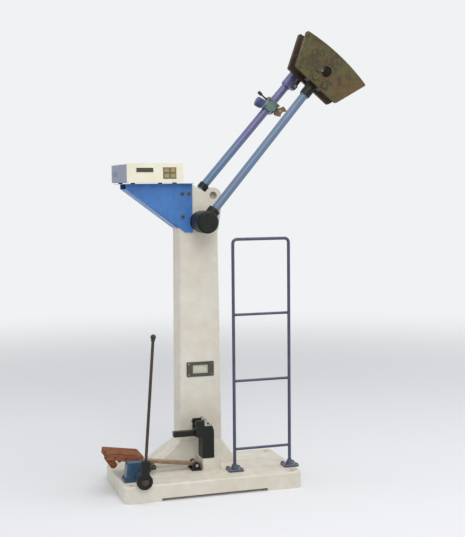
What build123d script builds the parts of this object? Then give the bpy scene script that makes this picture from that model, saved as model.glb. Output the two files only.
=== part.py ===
from build123d import *
from math import atan2, cos, degrees, hypot, pi, sin, sqrt
import os

# Pendulum impact tester, millimetres. X runs along the base, +Y is away from the operator, +Z is up.
# The origin is the middle of the base's underside.

# Base casting
BASE_LENGTH = 740
BASE_WIDTH = 400
BASE_HEIGHT = 68
BASE_CORNER = 28
FOUNDATION_SPACING_X = 670
FOUNDATION_SPACING_Y = 330
FOUNDATION_HOLE_R = 9
SPOTFACE_R = 19
SPOTFACE_DEPTH = 3
UNDERCUT_LENGTH = 440
UNDERCUT_DEPTH = 36
UNDERCUT_HEIGHT = 12

# Column casting
COLUMN_X = 13
COLUMN_FRONT = 60
COLUMN_BACK = 175
COLUMN_HALF_TOP = 83
COLUMN_HALF_BOTTOM = 91
FLARE_TOP = 165
FLARE_LEFT = -205
FLARE_RIGHT = 165
FLARE_FRONT = 42
FLARE_BACK = 194
HEAD_FROM = 1050
HEAD_TOP = 1246
LUG_X = 77
LUG_Z = 1194
LUG_R = 36
LUG_BORE_R = 16
LUG_BACK = 122
LUG_RECESS = 32
COLUMN_SCREWS = [(-45, 88), (70, 88), (-45, 150), (70, 150)]

# Pendulum, drawn along +X from its axis and then turned to where the latch holds it
AXIS_X = 18
AXIS_Z = 1090
SWING_PLANE = -18
RAISED_ANGLE = 50
HAMMER_OUTER_R = 890
HAMMER_INNER = 729
HAMMER_HALF_INNER = 115
HAMMER_HALF_OUTER = 170
HAMMER_PLATE = 20
HAMMER_WIDTH = 110
HAMMER_HOLE_AT = 800
HAMMER_HOLE_R = 23.5
STRIKE_R = 830
STRIKER_REACH = 842
STRIKER_WIDTH = 16
PIPE_R = 17
PIPE_WALL = 4
HUB_R = 46
HUB_FRONT = -66
HUB_BACK = 30
SHAFT_R = 15

# Bearings of the pendulum shaft
BEARING_R = 31
BEARING_WIDTH = 16
BALL_PITCH_R = 23
BALL_R = 4.7
BALL_COUNT = 8
FRONT_BEARING_Y = 66
REAR_BEARING_Y = 153

# Fixed latching tube behind the pendulum
TUBE_START = (39, 95, 1230)
TUBE_END = (450, 95, 1697)
TUBE_R = 17
TUBE_BORE_R = 13
RELEASE_AT = 455
PIN_RADIUS_AT = 752
PIN_OFFSET = 52
HOOK_PIVOT_AT = 700
HOOK_PIVOT_OFFSET = 40

# Anvils
BLOCK_WIDTH = 64
SLOT_WIDTH = 36
LEDGE_Z = AXIS_Z - STRIKE_R - 5
TOWER_Z = 274
PLINTH_TOP = 116

# Guard frame
GUARD_Y = -96
GUARD_LEFT = 112
GUARD_RIGHT = 352
GUARD_HEIGHT = 952
GUARD_R = 6.5
GUARD_BEND = 18
RUNG_HEIGHTS = [644, 371, 88]
GUARD_FOOT = 64

# Control box and its bracket
BOX_LEFT = -296
BOX_RIGHT = -62
BOX_FRONT = 14
BOX_BACK = 340
BOX_BOTTOM = 1250
BOX_TOP = 1330
SHEET = 2
KEY_COLUMNS = [-132, -106]
KEY_ROWS = [1301, 1279]
KEY_WIDTH = 20
KEY_HEIGHT = 16

# Brake
HINGE_X = -38
HINGE_Z = 90
ARM_TILT = 8.5
ARM_WIDTH = 40
SHOE_FROM = -380
SHOE_TO = -233
SHOE_FRONT = -80
SHOE_BACK = 45
BRAKE_SHAFT_X = -293
BRAKE_SHAFT_Z = 90
CRANK = 75
CRANK_ANGLE = 6.25
CRANK_ROLLER_R = 12
LEVER_TILT = 4.3
LEVER_Y = -215

GAP = 0.05


def block(x0, x1, y0, y1, z0, z1):
    """A box between two corners."""
    middle = ((x0 + x1) / 2, (y0 + y1) / 2, (z0 + z1) / 2)
    return Pos(*middle) * Box(x1 - x0, y1 - y0, z1 - z0)


def rod_x(y, z, r, x0, x1):
    """A round bar along X."""
    return Pos((x0 + x1) / 2, y, z) * Rot(0, 90, 0) * Cylinder(r, x1 - x0)


def rod_y(x, z, r, y0, y1):
    """A round bar along Y."""
    return Pos(x, (y0 + y1) / 2, z) * Rot(90, 0, 0) * Cylinder(r, y1 - y0)


def rod_z(x, y, r, z0, z1):
    """A round bar along Z."""
    return Pos(x, y, (z0 + z1) / 2) * Cylinder(r, z1 - z0)


def ring_y(x, z, r_out, r_in, y0, y1):
    """A ring along Y."""
    return rod_y(x, z, r_out, y0, y1) - rod_y(x, z, r_in, y0 - 1, y1 + 1)


def slab(face, y0, y1):
    """An outline drawn in X and Z, given thickness from y0 to y1."""
    plane = Plane((0, y1, 0), x_dir=(1, 0, 0), z_dir=(0, -1, 0))
    return extrude(plane * face, y1 - y0)


def outline(points, radius=0):
    """A closed outline with all its corners rounded alike."""
    face = make_face(Polyline(*points, close=True))
    return fillet(face.vertices(), radius) if radius else face


def hexagon(x, y, z, across, height, axis="z"):
    """A hexagon bolt head that stands on the point given."""
    head = extrude(RegularPolygon(across / 2, 6, major_radius=False), height)
    turn = {"z": Rot(0, 0, 0), "-y": Rot(90, 0, 0), "y": Rot(-90, 0, 0), "-z": Rot(180, 0, 0)}[axis]
    return Pos(x, y, z) * turn * head


def group(solids):
    """Separate solids that share one node."""
    return Compound(children=[piece for item in solids for piece in item.solids()])


def raised(shape):
    """Turns a piece drawn along +X from the pendulum's axis to its raised place."""
    return Location((AXIS_X, 0, AXIS_Z), (0, -RAISED_ANGLE, 0)) * shape


def along_tube(shape):
    """Places a piece drawn along +X, around the origin, on the latching tube."""
    angle = degrees(atan2(TUBE_END[2] - TUBE_START[2], TUBE_END[0] - TUBE_START[0]))
    return Location(TUBE_START, (0, -angle, 0)) * shape


def on_arm(shape):
    """Places a piece drawn level around the brake arm's hinge at the arm's resting slope."""
    return Location((HINGE_X, 0, HINGE_Z), (0, ARM_TILT, 0)) * shape


parts = {}


# Base and column

def base_casting():
    plan = RectangleRounded(BASE_LENGTH, BASE_WIDTH, BASE_CORNER)
    body = extrude(plan, BASE_HEIGHT)
    body = fillet(body.faces().sort_by(Axis.Z)[-1].edges(), 6)
    for sy in (-1, 1):
        edge = Pos(0, sy * BASE_WIDTH / 2, 0) * Box(UNDERCUT_LENGTH, 2 * UNDERCUT_DEPTH, 2 * UNDERCUT_HEIGHT)
        body -= fillet(edge.edges().filter_by(Axis.Z), 10)
        for sx in (-1, 1):
            x, y = sx * FOUNDATION_SPACING_X / 2, sy * FOUNDATION_SPACING_Y / 2
            body -= rod_z(x, y, FOUNDATION_HOLE_R, -1, BASE_HEIGHT + 1)
            body -= rod_z(x, y, SPOTFACE_R, BASE_HEIGHT - SPOTFACE_DEPTH, BASE_HEIGHT + 1)
    for x, y in COLUMN_SCREWS:
        body -= rod_z(x, y, 8.5, -1, BASE_HEIGHT + 1)
        body -= rod_z(x, y, 14, -1, 20)
    return body + anvil_plinth()


def anvil_plinth():
    """The raised pad under the anvils, cast with the base and butting against the column."""
    plan = Pos(25, -11) * RectangleRounded(78, 102, 8) + Pos(25, 16) * Rectangle(78, 52)
    pad = extrude(Pos(0, 0, BASE_HEIGHT - 1) * plan, PLINTH_TOP - BASE_HEIGHT + 1)
    return pad - column_casting()


def column_screw(x, y):
    head = rod_z(x, y, 12, 3, 19) - Pos(x, y, 3) * extrude(RegularPolygon(6, 6), 8)
    return head + rod_z(x, y, 7.9, 19, 100)


def flare_and_body():
    """The tapering column on its flared foot."""
    depth = COLUMN_BACK - COLUMN_FRONT
    mid_y = (COLUMN_BACK + COLUMN_FRONT) / 2
    waist = Pos(COLUMN_X, mid_y, FLARE_TOP) * Rectangle(2 * COLUMN_HALF_BOTTOM, depth)
    neck = Pos(COLUMN_X, mid_y, HEAD_FROM) * Rectangle(2 * COLUMN_HALF_TOP, depth)
    body = loft([waist, neck])
    foot_x = (FLARE_LEFT + FLARE_RIGHT) / 2
    foot_y = (FLARE_FRONT + FLARE_BACK) / 2
    foot = Rectangle(FLARE_RIGHT - FLARE_LEFT, FLARE_BACK - FLARE_FRONT)
    toe = Pos(foot_x, foot_y, BASE_HEIGHT + 8) * foot
    flare = loft([toe, waist])
    sole = extrude(Pos(foot_x, foot_y, BASE_HEIGHT) * foot, 8)
    return fillet((body + flare + sole).edges().filter_by(lambda e: abs(e.tangent_at(0.5).Z) > 0.4), 7)


def column_head():
    """The head that carries the bearings, the latch clamp and the lug with its round recess."""
    left = COLUMN_X - COLUMN_HALF_TOP
    right = COLUMN_X + COLUMN_HALF_TOP
    points = [(left, HEAD_FROM - 4), (left, HEAD_TOP), (-18, HEAD_TOP), (46, 1210),
              (106, 1196), (112, 1150), (right, HEAD_FROM - 4)]
    head = slab(outline(points, 6), COLUMN_FRONT, COLUMN_BACK)
    lug = rod_y(LUG_X, LUG_Z, LUG_R, COLUMN_FRONT, LUG_BACK)
    return head + lug - rod_y(LUG_X, LUG_Z + 3, LUG_BORE_R, COLUMN_FRONT - 1, COLUMN_FRONT + LUG_RECESS)


def column_casting():
    body = flare_and_body() + column_head()
    body -= rod_y(AXIS_X, AXIS_Z, BEARING_R, COLUMN_FRONT - 1, COLUMN_FRONT + 24)
    body -= rod_y(AXIS_X, AXIS_Z, BEARING_R, COLUMN_BACK - 24, COLUMN_BACK + 1)
    body -= rod_y(AXIS_X, AXIS_Z, 27, COLUMN_FRONT, COLUMN_BACK)
    for x, y in COLUMN_SCREWS:
        body -= rod_z(x, y, 8, BASE_HEIGHT - 1, 112)
    return body - along_tube(Rot(0, 90, 0) * Cylinder(TUBE_R + 5, 90))


parts["base_casting"] = base_casting()
parts["column_casting"] = column_casting()


# Nameplate, left blank

PLATE = (12, 470, 118, 62)


def nameplate():
    x, z, width, height = PLATE
    frame = RectangleRounded(width, height, 4) - RectangleRounded(64, 34, 2)
    insert = RectangleRounded(64, 34, 2)
    rivets = [rod_y(x + sx * 50, z + sz * 22, 2.5, 55.4, 57) for sx in (-1, 1) for sz in (-1, 1)]
    return group([slab(Pos(x, z) * frame, 57, 60)] + rivets), slab(Pos(x, z) * insert, 58.2, 60)


parts["nameplate_frame"], parts["nameplate_blank"] = nameplate()


# Anvils and specimen support

BLOCK_FRONT = SWING_PLANE - BLOCK_WIDTH / 2
BLOCK_BACK = SWING_PLANE + BLOCK_WIDTH / 2
ANVIL_FACE = AXIS_X - 10
ANVIL_THICK = 10


def support_block():
    """Two black towers with the striker's slot between them, on one foot."""
    profile = [(-12, PLINTH_TOP), (38, PLINTH_TOP), (38, 232), (31, LEDGE_Z - 4),
               (ANVIL_FACE - ANVIL_THICK, LEDGE_Z - 4), (ANVIL_FACE - ANVIL_THICK, TOWER_Z),
               (-38, TOWER_Z), (-38, 206), (-12, 206)]
    body = slab(outline(profile, 1), BLOCK_FRONT, BLOCK_BACK)
    half = SLOT_WIDTH / 2
    slot = block(-60, 60, SWING_PLANE - half, SWING_PLANE + half, 238, 300)
    return body - slot - rod_x(SWING_PLANE, 203, 5.1, 20, 60)


def anvil(side):
    """One hardened anvil with its rounded edge towards the slot."""
    inner = SWING_PLANE + side * SLOT_WIDTH / 2
    outer = SWING_PLANE + side * BLOCK_WIDTH / 2
    y0, y1 = min(inner, outer), max(inner, outer)
    solid = block(ANVIL_FACE - ANVIL_THICK, ANVIL_FACE, y0, y1, LEDGE_Z, TOWER_Z + 6)
    edge = solid.edges().filter_by(Axis.Z).sort_by_distance((ANVIL_FACE, inner, TOWER_Z))[0]
    return fillet(edge, 2)


def specimen_pad(side):
    """One hardened pad on the ledge that the specimen lies on."""
    inner = SWING_PLANE + side * SLOT_WIDTH / 2
    outer = SWING_PLANE + side * BLOCK_WIDTH / 2
    return block(ANVIL_FACE - ANVIL_THICK + 1.2, 30, min(inner, outer), max(inner, outer), LEDGE_Z - 4, LEDGE_Z)


def rest_bar():
    """The flat bar left of the anvils that squares up the specimen."""
    bar = block(-128, -38, -30, -6, 208, 231)
    return fillet(bar.edges().filter_by(Axis.Y), 3)


parts["support_block"] = support_block()
parts["anvils"] = group([anvil(-1), anvil(1), specimen_pad(-1), specimen_pad(1)])
parts["specimen_rest_bar"] = rest_bar()


# Pendulum

def bearing_ring(y0, outer):
    """One bearing ring with its ball groove."""
    radii = (BEARING_R, 27.4) if outer else (18.6, SHAFT_R)
    ring = ring_y(AXIS_X, AXIS_Z, *radii, y0, y0 + BEARING_WIDTH)
    groove = Pos(AXIS_X, y0 + BEARING_WIDTH / 2, AXIS_Z) * Rot(90, 0, 0) * Torus(BALL_PITCH_R, BALL_R + 0.3)
    return ring - groove


def ball_cage(y0):
    """The pierced cage of one bearing and the balls in its windows."""
    mid = y0 + BEARING_WIDTH / 2
    cage = ring_y(AXIS_X, AXIS_Z, BALL_PITCH_R + 1, BALL_PITCH_R - 1, mid - 6.5, mid + 6.5)
    balls = []
    for i in range(BALL_COUNT):
        a = 2 * pi * i / BALL_COUNT
        place = Pos(AXIS_X + BALL_PITCH_R * cos(a), mid, AXIS_Z + BALL_PITCH_R * sin(a))
        cage -= place * Rot(0, -degrees(a), 0) * Box(8, 9.8, 9.8)
        balls.append(place * Sphere(BALL_R))
    return [cage] + balls


def pendulum_hub():
    """The black hub: a round body with a socket for the pipe."""
    body = rod_y(0, 0, HUB_R, HUB_FRONT, HUB_BACK)
    body = chamfer(body.edges().filter_by(GeomType.CIRCLE), 4)
    boss = rod_x(SWING_PLANE, 0, 26, 30, 66)
    body = body + boss - rod_x(SWING_PLANE, 0, PIPE_R, 34, 80) - rod_y(0, 0, SHAFT_R, -58, 40)
    return raised(body)


def hammer_outline():
    """The hammer's fan shape: straight inner edge and sides, outer edge round the axis."""
    reach = sqrt(HAMMER_OUTER_R**2 - HAMMER_HALF_OUTER**2)
    low, high = (reach, -HAMMER_HALF_OUTER), (reach, HAMMER_HALF_OUTER)
    inner_low, inner_high = (HAMMER_INNER, -HAMMER_HALF_INNER), (HAMMER_INNER, HAMMER_HALF_INNER)
    arc = ThreePointArc(low, (HAMMER_OUTER_R, 0), high)
    edges = [Line(inner_low, low), arc, Line(high, inner_high), Line(inner_high, inner_low)]
    face = make_face(edges)
    return fillet(face.vertices(), 6)


def hammer_plate(y0):
    body = slab(hammer_outline(), y0, y0 + HAMMER_PLATE)
    for x, z in HAMMER_BOLTS:
        body -= rod_y(x, z, 6.2, y0 - 1, y0 + HAMMER_PLATE + 1)
    return body


def front_hammer_plate():
    """The front plate, which alone has the round hole."""
    plate = hammer_plate(HAMMER_FRONT)
    return plate - rod_y(HAMMER_HOLE_AT, 0, HAMMER_HOLE_R, HAMMER_FRONT - 1, PLATE_GAP_FRONT + 1)


HAMMER_FRONT = SWING_PLANE - HAMMER_WIDTH / 2
HAMMER_BACK = SWING_PLANE + HAMMER_WIDTH / 2
PLATE_GAP_FRONT = HAMMER_FRONT + HAMMER_PLATE
PLATE_GAP_BACK = HAMMER_BACK - HAMMER_PLATE
HAMMER_BOLTS = [(748, -26), (748, 26), (784, 34)]


def hammer_socket():
    """The collar that takes the pipe, and its block between the two plates."""
    collar = rod_x(SWING_PLANE, 0, 23, 676, 738)
    collar = chamfer(collar.edges().filter_by(GeomType.CIRCLE), 5)
    core = block(735, 771, PLATE_GAP_FRONT, PLATE_GAP_BACK, -40, 40)
    body = collar + core - rod_x(SWING_PLANE, 0, PIPE_R, 670, 720)
    for x, z in HAMMER_BOLTS:
        body -= rod_y(x, z, 6.2, -90, 60)
    return body


def striker():
    """The holder between the plates and the narrow striker with its rounded edge."""
    holder = slab(outline([(771, 26), (771, 62), (806, 62), (806, 26)], 0), PLATE_GAP_FRONT, PLATE_GAP_BACK)
    blade_y0 = SWING_PLANE - STRIKER_WIDTH / 2
    nose = [(800, 26), (800, 8), (806, 0), (STRIKER_REACH - 2, 0), (STRIKER_REACH, 4), (STRIKER_REACH, 30), (806, 50)]
    body = holder + slab(outline(nose), blade_y0, blade_y0 + STRIKER_WIDTH)
    return body - rod_y(784, 34, 6.2, -90, 60)


def hammer_bolt(x, z):
    """A bolt right through the hammer, with a head in front and a nut behind."""
    shank = rod_y(x, z, 6, HAMMER_FRONT, HAMMER_BACK)
    front = hexagon(x, HAMMER_FRONT, z, 19, 7.5, "-y")
    return shank + front + hexagon(x, HAMMER_BACK, z, 19, 4, "y")


def pendulum():
    pipe = rod_x(SWING_PLANE, 0, PIPE_R, 34, 720) - rod_x(SWING_PLANE, 0, PIPE_R - PIPE_WALL, 44, 700)
    cap = chamfer(rod_y(0, 0, 40, -74, HUB_FRONT).edges().filter_by(GeomType.CIRCLE), 2)
    shaft = rod_y(0, 0, SHAFT_R, -58, 180) + rod_y(0, 0, 21, HUB_BACK, FRONT_BEARING_Y)
    parts["pendulum_shaft"] = raised(chamfer(shaft.edges().sort_by(Axis.Y)[-1], 2))
    parts["bearing_inner_rings"] = group([bearing_ring(y, False) for y in (FRONT_BEARING_Y, REAR_BEARING_Y)])
    parts["bearing_outer_rings"] = group([bearing_ring(y, True) for y in (FRONT_BEARING_Y, REAR_BEARING_Y)])
    parts["ball_cages"] = group(ball_cage(FRONT_BEARING_Y) + ball_cage(REAR_BEARING_Y))
    screws = [rod_y(28 * cos(a), 28 * sin(a), 4.5, -78, -74) for a in (0.6, 0.6 + 2 * pi / 3, 0.6 + 4 * pi / 3)]
    parts["pendulum_hub"] = group([pendulum_hub(), raised(cap)] + [raised(screw) for screw in screws])
    parts["pendulum_pipe"] = raised(pipe)
    parts["hammer_socket"] = raised(hammer_socket())
    parts["hammer_front_plate"] = raised(front_hammer_plate())
    parts["hammer_rear_plate"] = raised(hammer_plate(PLATE_GAP_BACK) - latch_pin())
    parts["striker"] = raised(striker())
    bolts = [raised(hammer_bolt(x, z)) for x, z in HAMMER_BOLTS]
    parts["hammer_bolts"] = group(bolts + [raised(latch_pin())])


def latch_pin():
    """The pin on the hammer's back plate that the hook holds."""
    return rod_y(PIN_RADIUS_AT, PIN_OFFSET, 6, HAMMER_BACK - 12, HAMMER_BACK + 17)


pendulum()


# Bearing covers and angle sensor

def bearing_cover(y0, y1):
    cover = ring_y(AXIS_X, AXIS_Z, 42, 23, y0, y1)
    return chamfer(cover.edges().filter_by(GeomType.CIRCLE).sort_by(SortBy.RADIUS)[-1], 1.5)


def angle_sensor():
    body = rod_y(AXIS_X, AXIS_Z, 29, 182, 224)
    body = fillet(body.edges().filter_by(GeomType.CIRCLE).sort_by(Axis.Y)[-1], 5)
    flange = rod_y(AXIS_X, AXIS_Z, 36, 182, 188)
    socket = rod_x(203, AXIS_Z, 8, AXIS_X - 42, AXIS_X - 20)
    return body + flange + socket


parts["bearing_covers"] = group([bearing_cover(54, COLUMN_FRONT), bearing_cover(COLUMN_BACK, 182)])
parts["angle_sensor"] = angle_sensor()


# Latching tube and release

def latch_tube_clamp():
    """The black split clamp that holds the tube on the sloping top of the head."""
    sleeve = Rot(0, 90, 0) * (Cylinder(TUBE_R + 3.5, 24) - Cylinder(TUBE_R, 60))
    ears = block(-12, 12, -34, 34, -6, 0) - rod_x(0, 0, TUBE_R + 3, -30, 30)
    return along_tube(Pos(6, 0, 0) * (sleeve + ears) - block(-40, 40, -50, 50, -60, -22))


TUBE_LENGTH = hypot(TUBE_END[0] - TUBE_START[0], TUBE_END[2] - TUBE_START[2])


def latch_tube():
    tube = rod_x(0, 0, TUBE_R, -40, TUBE_LENGTH - 12)
    return along_tube(tube - rod_x(0, 0, TUBE_BORE_R, -30, TUBE_LENGTH - 20))


def hook_frame(shape):
    """Places a piece drawn at the hook's pivot in the pendulum's raised frame."""
    return raised(Pos(HOOK_PIVOT_AT, 0, HOOK_PIVOT_OFFSET) * shape)


def latch_head():
    """The collar on the tube's end, with the ear that carries the hook."""
    collar = along_tube(rod_x(0, 0, 24, TUBE_LENGTH - 56, TUBE_LENGTH + 8))
    collar = chamfer(collar.edges().filter_by(GeomType.CIRCLE), 4)
    ear = hook_frame(slab(outline([(-13, -12), (13, -12), (20, 34), (-20, 34)], 5), 55, 84))
    bore = along_tube(rod_x(0, 0, TUBE_R, TUBE_LENGTH - 70, TUBE_LENGTH - 12))
    return collar + ear - bore - hook_frame(rod_y(0, 0, 5, 30, 70))


def latch_hook():
    """The swinging arm whose notch holds the hammer's pin."""
    reach = PIN_RADIUS_AT - HOOK_PIVOT_AT
    lift = PIN_OFFSET - HOOK_PIVOT_OFFSET
    body = Circle(11) + Pos(reach / 2, 0) * Rectangle(reach, 14) + Pos(reach + 5, 1) * RectangleRounded(22, 24, 4)
    body -= Pos(reach, lift) * Circle(6.3)
    return hook_frame(slab(body - Circle(5.05), 43, 52))


RELEASE_PIVOT = (8, -44)
KNOB_OFFSET = 12
KNOB_STEM_R = 3.5


def release_housing():
    """The clamp block round the tube, with a light flange and the trigger's ear."""
    body = block(-24, 20, -27, 25, -27, 27)
    body = fillet(body.edges().filter_by(Axis.X), 6) - rod_x(0, 0, TUBE_R, -40, 40)
    flange = fillet(block(18, 24, -30, 25, -30, 30).edges().filter_by(Axis.X), 5) - rod_x(0, 0, TUBE_R, 10, 40)
    x, z = RELEASE_PIVOT
    ear = slab(outline([(x - 9, z - 9), (x + 9, z - 9), (x + 9, -26), (x - 9, -26)], 2), -5.5, 2)
    ear -= rod_y(x, z, 4, -10, 10)
    body -= rod_z(KNOB_OFFSET, 0, KNOB_STEM_R + GAP, TUBE_R - 1, 40)
    return along_tube(Pos(RELEASE_AT, 0, 0) * (body + flange + ear))


def release_coil():
    """The round blue housing to the left of the tube."""
    body = rod_z(0, 0, 21, 27, 62)
    body = fillet(body.edges().filter_by(GeomType.CIRCLE).sort_by(Axis.Z)[-1], 8)
    return along_tube(Pos(RELEASE_AT - 8, 0, 0) * Rot(0, -14, 0) * body & along_far_side())


def along_far_side():
    """The space beyond the clamp block's upper face, in the tube's own frame."""
    return block(-400, 900, -200, 200, 27, 400)


def release_lever():
    """The two-pronged trigger lever that pulls the hook's rod."""
    x, z = RELEASE_PIVOT
    points = [(-17, -36), (-14, -48), (-6, -62), (10, -52), (30, -70), (36, -44), (22, -38), (17, -33), (-8, -30)]
    face = outline(points, 2) + Pos(x, z) * Circle(13) - Pos(x, z) * Circle(4.05)
    return along_tube(Pos(RELEASE_AT, 0, 0) * slab(face, -22, -6))


def latch_pivots():
    """The pins of the trigger lever and of the hook."""
    x, z = RELEASE_PIVOT
    trigger_pin = rod_y(x, z, 4, -26, 2) + rod_y(x, z, 6.5, -27, -23)
    hook_pin = rod_y(0, 0, 5, 41, 70) + rod_y(0, 0, 8, 39.5, 42)
    return group([along_tube(Pos(RELEASE_AT, 0, 0) * trigger_pin), hook_frame(hook_pin)])


def release_rod():
    """The rod inside the tube, with two guide collars, between the trigger and the hook."""
    start, end = RELEASE_AT - 30, TUBE_LENGTH - 40
    rod = rod_x(0, 0, 4, start, end)
    for at in (start + 10, end - 30):
        rod += rod_x(0, 0, TUBE_BORE_R - GAP, at, at + 10)
    return along_tube(rod)


def lock_knob():
    """The safety knob on its stem."""
    stem = rod_z(0, 0, KNOB_STEM_R, 19, 58)
    knob = fillet(rod_z(0, 0, 7, 56, 76).edges().filter_by(GeomType.CIRCLE), 3)
    return along_tube(Pos(RELEASE_AT + KNOB_OFFSET, 0, 0) * (stem + knob))


parts["latch_tube_clamp"] = latch_tube_clamp() - parts["column_casting"]
parts["latch_tube"] = latch_tube()
parts["latch_head"] = latch_head()
parts["latch_pivots"] = latch_pivots()
parts["latch_hook"] = latch_hook()
parts["release_housing"] = release_housing()
parts["release_coil"] = release_coil()
parts["release_lever"] = release_lever()
parts["release_rod"] = release_rod()
parts["lock_knob"] = lock_knob()


# Control box on its bracket

WEB_THICK = 4


def bracket_web(y0):
    """One triangular web of the bracket, cut out round the bearing cover."""
    points = [(-292, HEAD_TOP), (-14, HEAD_TOP), (-14, 1043), (-46, 1046), (-292, 1226)]
    face = outline(points, 3) - Pos(AXIS_X, AXIS_Z) * Circle(43)
    return slab(face, y0, y0 + WEB_THICK)


def box_bracket():
    """The shelf under the box, its two webs and the folded lip along their sloping edges."""
    shelf = block(BOX_LEFT + 4, -14, BOX_FRONT + 12, BOX_BACK - 22, HEAD_TOP, HEAD_TOP + 2)
    shelf = fillet(shelf.edges().filter_by(Axis.Z), 8)
    brace = slab(outline([(-292, 1226), (-288, 1226), (-76, 1067), (-76, 1063)]), COLUMN_FRONT, COLUMN_BACK)
    return shelf + bracket_web(COLUMN_FRONT - WEB_THICK) + bracket_web(COLUMN_BACK) + brace


def box_cover():
    """The folded cover: top and both sides, open in front and behind."""
    shell = block(BOX_LEFT, BOX_RIGHT, BOX_FRONT + 3, BOX_BACK - 3, BOX_BOTTOM + 4, BOX_TOP)
    shell = fillet(shell.edges().filter_by(Axis.Y).sort_by(Axis.Z)[-2:], 6)
    inner = block(BOX_LEFT + SHEET, BOX_RIGHT - SHEET, BOX_FRONT, BOX_BACK, BOX_BOTTOM, BOX_TOP - SHEET)
    slots = [block(BOX_LEFT - 1, BOX_RIGHT + 1, y, y + 3, 1276, 1300) for y in range(BOX_BACK - 120, BOX_BACK - 30, 10)]
    return shell - inner - slots


def panel(y0, y1):
    """A flat end panel with the cover's outline."""
    face = outline([(BOX_LEFT, BOX_BOTTOM + 2), (BOX_RIGHT, BOX_BOTTOM + 2),
                    (BOX_RIGHT, BOX_TOP), (BOX_LEFT, BOX_TOP)], 5)
    return slab(face, y0, y1)


KEYPAD = (-119, 1290, 56, 47)
WINDOW = (-222, 1303, 70, 18)


def front_panel():
    body = panel(BOX_FRONT, BOX_FRONT + 3)
    for x, z, width, height in (KEYPAD, WINDOW):
        body -= slab(Pos(x, z) * Rectangle(width, height), BOX_FRONT - 1, BOX_FRONT + 4)
    return body


def keypad_plate():
    x, z, width, height = KEYPAD
    face = Pos(x, z) * Rectangle(width, height)
    for kx in KEY_COLUMNS:
        for kz in KEY_ROWS:
            face -= Pos(kx, kz) * Rectangle(KEY_WIDTH + 0.6, KEY_HEIGHT + 0.6)
    return slab(face, BOX_FRONT, BOX_FRONT + 3)


def key(x, z):
    """One key cap that stands proud of its plate."""
    half_w, half_h = KEY_WIDTH / 2, KEY_HEIGHT / 2
    cap = block(x - half_w, x + half_w, BOX_FRONT - 2.5, BOX_FRONT + 5, z - half_h, z + half_h)
    return chamfer(cap.faces().sort_by(Axis.Y)[0].edges(), 0.8)


def box_chassis():
    """The floor of the box, folded up at both sides, and the rear panel on it."""
    floor = block(BOX_LEFT + 2.2, BOX_RIGHT - 2.2, BOX_FRONT + 3, BOX_BACK - 3, BOX_BOTTOM + 2, BOX_BOTTOM + 4)
    sides = [block(x, x + 2, BOX_FRONT + 3, BOX_BACK - 3, BOX_BOTTOM + 4, BOX_BOTTOM + 16)
             for x in (BOX_LEFT + 2.2, BOX_RIGHT - 4.2)]
    return floor + sides + rear_panel()


def rear_panel():
    inlet = slab(Pos(-250, 1288) * Rectangle(28, 22), BOX_BACK - 4, BOX_BACK + 1)
    switch = slab(Pos(-205, 1288) * Rectangle(14, 22), BOX_BACK - 4, BOX_BACK + 1)
    return panel(BOX_BACK - 3, BOX_BACK) - inlet - switch


def power_inlet():
    """The mains inlet with its flange and its three pins."""
    body = slab(Pos(-250, 1288) * Rectangle(28, 22), BOX_BACK - 20, BOX_BACK)
    flange = slab(Pos(-250, 1288) * RectangleRounded(34, 28, 3), BOX_BACK, BOX_BACK + 2.5)
    recess = slab(Pos(-250, 1288) * RectangleRounded(24, 17, 3), BOX_BACK - 14, BOX_BACK + 3)
    pins = [block(x - 1, x + 1, BOX_BACK - 14, BOX_BACK - 2, 1285, 1291) for x in (-257, -250, -243)]
    return body + flange - recess + pins


def switch_frame():
    """The raised frame that the switch rocker tips in."""
    plate = RectangleRounded(22, 30, 2) - Rectangle(14, 22)
    frame = slab(Pos(-205, 1288) * plate, BOX_BACK, BOX_BACK + 4)
    return frame - rod_x(BOX_BACK + 2, 1288, 1.2 + GAP, -214.5, -195.5)


def rocker_switch():
    """The switch rocker, which tips on the pin through its middle."""
    profile = [(0, -10.4), (0, 10.4), (6, 10.2), (3.6, 0), (2.6, -10.2)]
    plane = Plane((-211.6, BOX_BACK, 1288), x_dir=(0, 1, 0), z_dir=(1, 0, 0))
    return extrude(plane * outline(profile), 13.2) + rod_x(BOX_BACK + 2, 1288, 1.2, -214, -196)


def sensor_socket():
    return ring_y(-110, 1288, 8, 4.5, BOX_BACK, BOX_BACK + 10)


def box_feet():
    spots = [(x, y) for x in (BOX_LEFT + 30, BOX_RIGHT - 30) for y in (BOX_FRONT + 30, BOX_BACK - 40)]
    return group([rod_z(x, y, 9, 1248, BOX_BOTTOM + 2) for x, y in spots])


BRACKET_BOLTS = [(-28, 1205), (-56, 1205), (-56, 1110)]
parts["box_bracket"] = box_bracket()
parts["box_cover"] = box_cover()
parts["box_chassis"] = box_chassis()
parts["box_front_panel"] = front_panel()
parts["display_window"] = slab(Pos(WINDOW[0], WINDOW[1]) * Rectangle(WINDOW[2], WINDOW[3]), BOX_FRONT + 0.8, BOX_FRONT + 3)
parts["keypad_plate"] = keypad_plate()
for column, key_x in enumerate(KEY_COLUMNS):
    for row, key_z in enumerate(KEY_ROWS):
        parts[f"key_{row * 2 + column + 1}"] = key(key_x, key_z)
parts["rear_sockets"] = group([power_inlet(), switch_frame(), sensor_socket()])
parts["power_switch"] = rocker_switch()
parts["box_feet"] = box_feet()


# Guard frame

def guard_post(x):
    """One upright, from its foot to where the bent top rail begins."""
    return rod_z(x, GUARD_Y, GUARD_R, BASE_HEIGHT + 8, BASE_HEIGHT + GUARD_HEIGHT - GUARD_BEND)


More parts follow.
